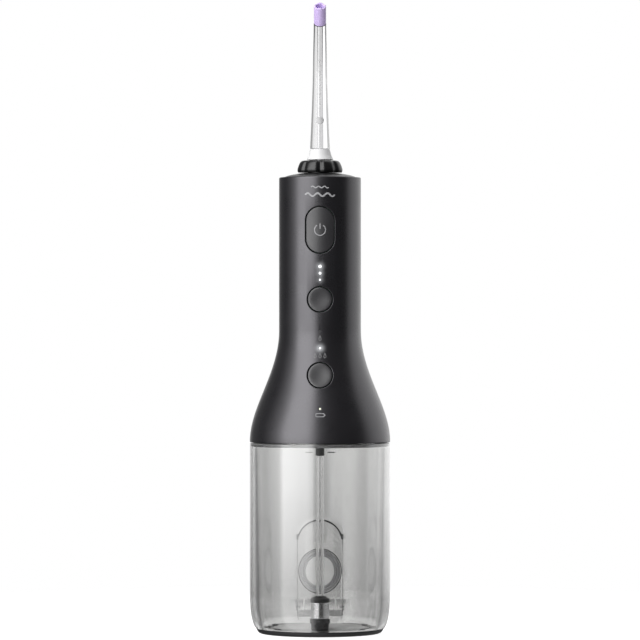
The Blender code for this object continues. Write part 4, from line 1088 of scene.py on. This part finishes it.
# Brightness round the object by direction, in degrees from the camera's side towards +X: first as
# surfaces reflect it, then as the clear walls show what lies behind them.
AROUND = [(-180, 1.0), (-164, 0.7), (-150, 0.2), (-108, 0.10), (-94, 0.35), (-80, 0.9), (-70, 1.6)]
AROUND += [(-62, 4.1), (-22, 4.1), (-13, 3.2), (-8, 0.6), (2, 0.22), (22, 0.10), (78, 0.08)]
AROUND += [(89, 0.8), (104, 1.12), (150, 1.2), (180, 1.0)]
BEHIND = [(-180, 0.74), (-172, 0.80), (-164, 1.2), (-152, 1.45), (-145, 1.0), (-141, 0.5), (-136, 0.5)]
BEHIND += [(-126, 0.6), (-97, 1.0), (-80, 1.4), (-62, 2.6), (-24, 2.6), (-12, 0.4), (-4, 0.12)]
BEHIND += [(30, 0.08), (55, 0.7), (96, 0.9), (110, 0.9), (120, 0.5), (136, 0.5), (147, 0.95)]
BEHIND += [(165, 0.85), (180, 0.74)]
BRIGHTEST = 5.0
LOW_LEVEL, LOW_FROM, LOW_TO = 0.36, -0.090, -0.045


def world():
    """A wide soft box front left, a dark flag front right and a pale backdrop that fades downwards."""
    made = bpy.data.worlds.new("studio")
    bpy.context.scene.world = made
    made.use_nodes = True
    tree = made.node_tree
    background = tree.nodes["Background"]

    def add(kind, values=(), **settings):
        node = tree.nodes.new(kind)
        for key, value in settings.items():
            setattr(node, key, value)
        for socket, value in values:
            if isinstance(value, float):
                node.inputs[socket].default_value = value
            else:
                tree.links.new(value, node.inputs[socket])
        return node

    def maths(operation, a, b):
        return add("ShaderNodeMath", enumerate((a, b)), operation=operation).outputs[0]

    def between(value, low, high, to_low, to_high):
        names = ("Value", "From Min", "From Max", "To Min", "To Max")
        return add("ShaderNodeMapRange", zip(names, (value, low, high, to_low, to_high))).outputs[0]

    def choose(factor, a, b):
        return add("ShaderNodeMix", zip((0, 2, 3), (factor, a, b)), data_type="FLOAT").outputs[0]

    def levels(share, stops):
        ramp = add("ShaderNodeValToRGB", [(0, share)])
        elements = ramp.color_ramp.elements
        elements.remove(elements[1])
        for i, (degrees, level) in enumerate(stops):
            position = (degrees + 180) / 360
            stop = elements[0] if i == 0 else elements.new(position)
            stop.position = position
            stop.color = (*[level / BRIGHTEST] * 3, 1.0)
        return ramp.outputs["Color"]

    split = add("ShaderNodeSeparateXYZ", [(0, add("ShaderNodeTexCoord").outputs["Generated"])])
    angle = maths("ARCTAN2", split.outputs["X"], maths("MULTIPLY", split.outputs["Y"], -1.0))
    share = between(angle, -math.pi, math.pi, 0.0, 1.0)
    path = add("ShaderNodeLightPath")
    around = choose(path.outputs["Is Transmission Ray"], levels(share, AROUND), levels(share, BEHIND))
    fade = between(split.outputs["Z"], LOW_FROM, LOW_TO, LOW_LEVEL, 1.0)
    bright = maths("MULTIPLY", maths("MULTIPLY", around, BRIGHTEST), fade)
    tree.links.new(choose(path.outputs["Is Camera Ray"], bright, 1.0), background.inputs["Strength"])
    background.inputs["Color"].default_value = (1.0, 1.0, 1.0, 1.0)


def floor_material():
    """White that glows a little and fades into the backdrop, unseen in mirrors and through clear walls."""
    m = Nodes("floor_white")
    far = m.add("ShaderNodeVectorMath", operation="LENGTH")
    m.link(m.place, far.inputs[0])
    path = m.add("ShaderNodeLightPath")
    m.set(Base_Color=(0.45, 0.45, 0.45), Roughness=0.9, Emission_Color=(1.0, 1.0, 1.0, 1.0))
    m.set(Emission_Strength=0.9)
    hidden = m.math("MAXIMUM", path.outputs["Is Glossy Ray"], path.outputs["Is Transmission Ray"])
    fade = m.ramp(far.outputs["Value"], FLOOR_FADE_START * MM, FLOOR_FADE_END * MM, 1.0, 0.0)
    m.set(Alpha=m.math("MULTIPLY", fade, m.math("SUBTRACT", 1.0, hidden)))
    return m


def stage():
    shape = bmesh.new()
    bmesh.ops.create_circle(shape, cap_ends=True, segments=96, radius=FLOOR_RADIUS * MM)
    floor = finish_mesh("floor", shape)
    floor.location.z = -FLOOR_DROP * MM
    dress(floor, floor_material())
    world()


def camera():
    scene = bpy.context.scene
    data = bpy.data.cameras.new("camera")
    data.lens, data.sensor_width = LENS, SENSOR
    data.clip_start, data.clip_end = 0.05, 50
    made = bpy.data.objects.new("camera", data)
    made.location = Vector((0, -CAMERA_DISTANCE, CAMERA_Z)) * MM
    made.rotation_euler = (math.radians(90), 0, 0)
    scene.collection.objects.link(made)
    scene.camera = made
    scene.view_settings.view_transform = "Standard"
    scene.cycles.blur_glossy = 0.2


handle_shell()
top_cap()
buttons()
lights()
marks()
knob()
nozzle_shaft()
nozzle_pad()
shaft_dashes()
nozzle_tip()
nozzle_collar()
tank()
fill_mark()
foot()
fill_door()
door_details()
door_seal()
pickup()
suction_fitting()
deck()
finish_kept()
stage()
camera()
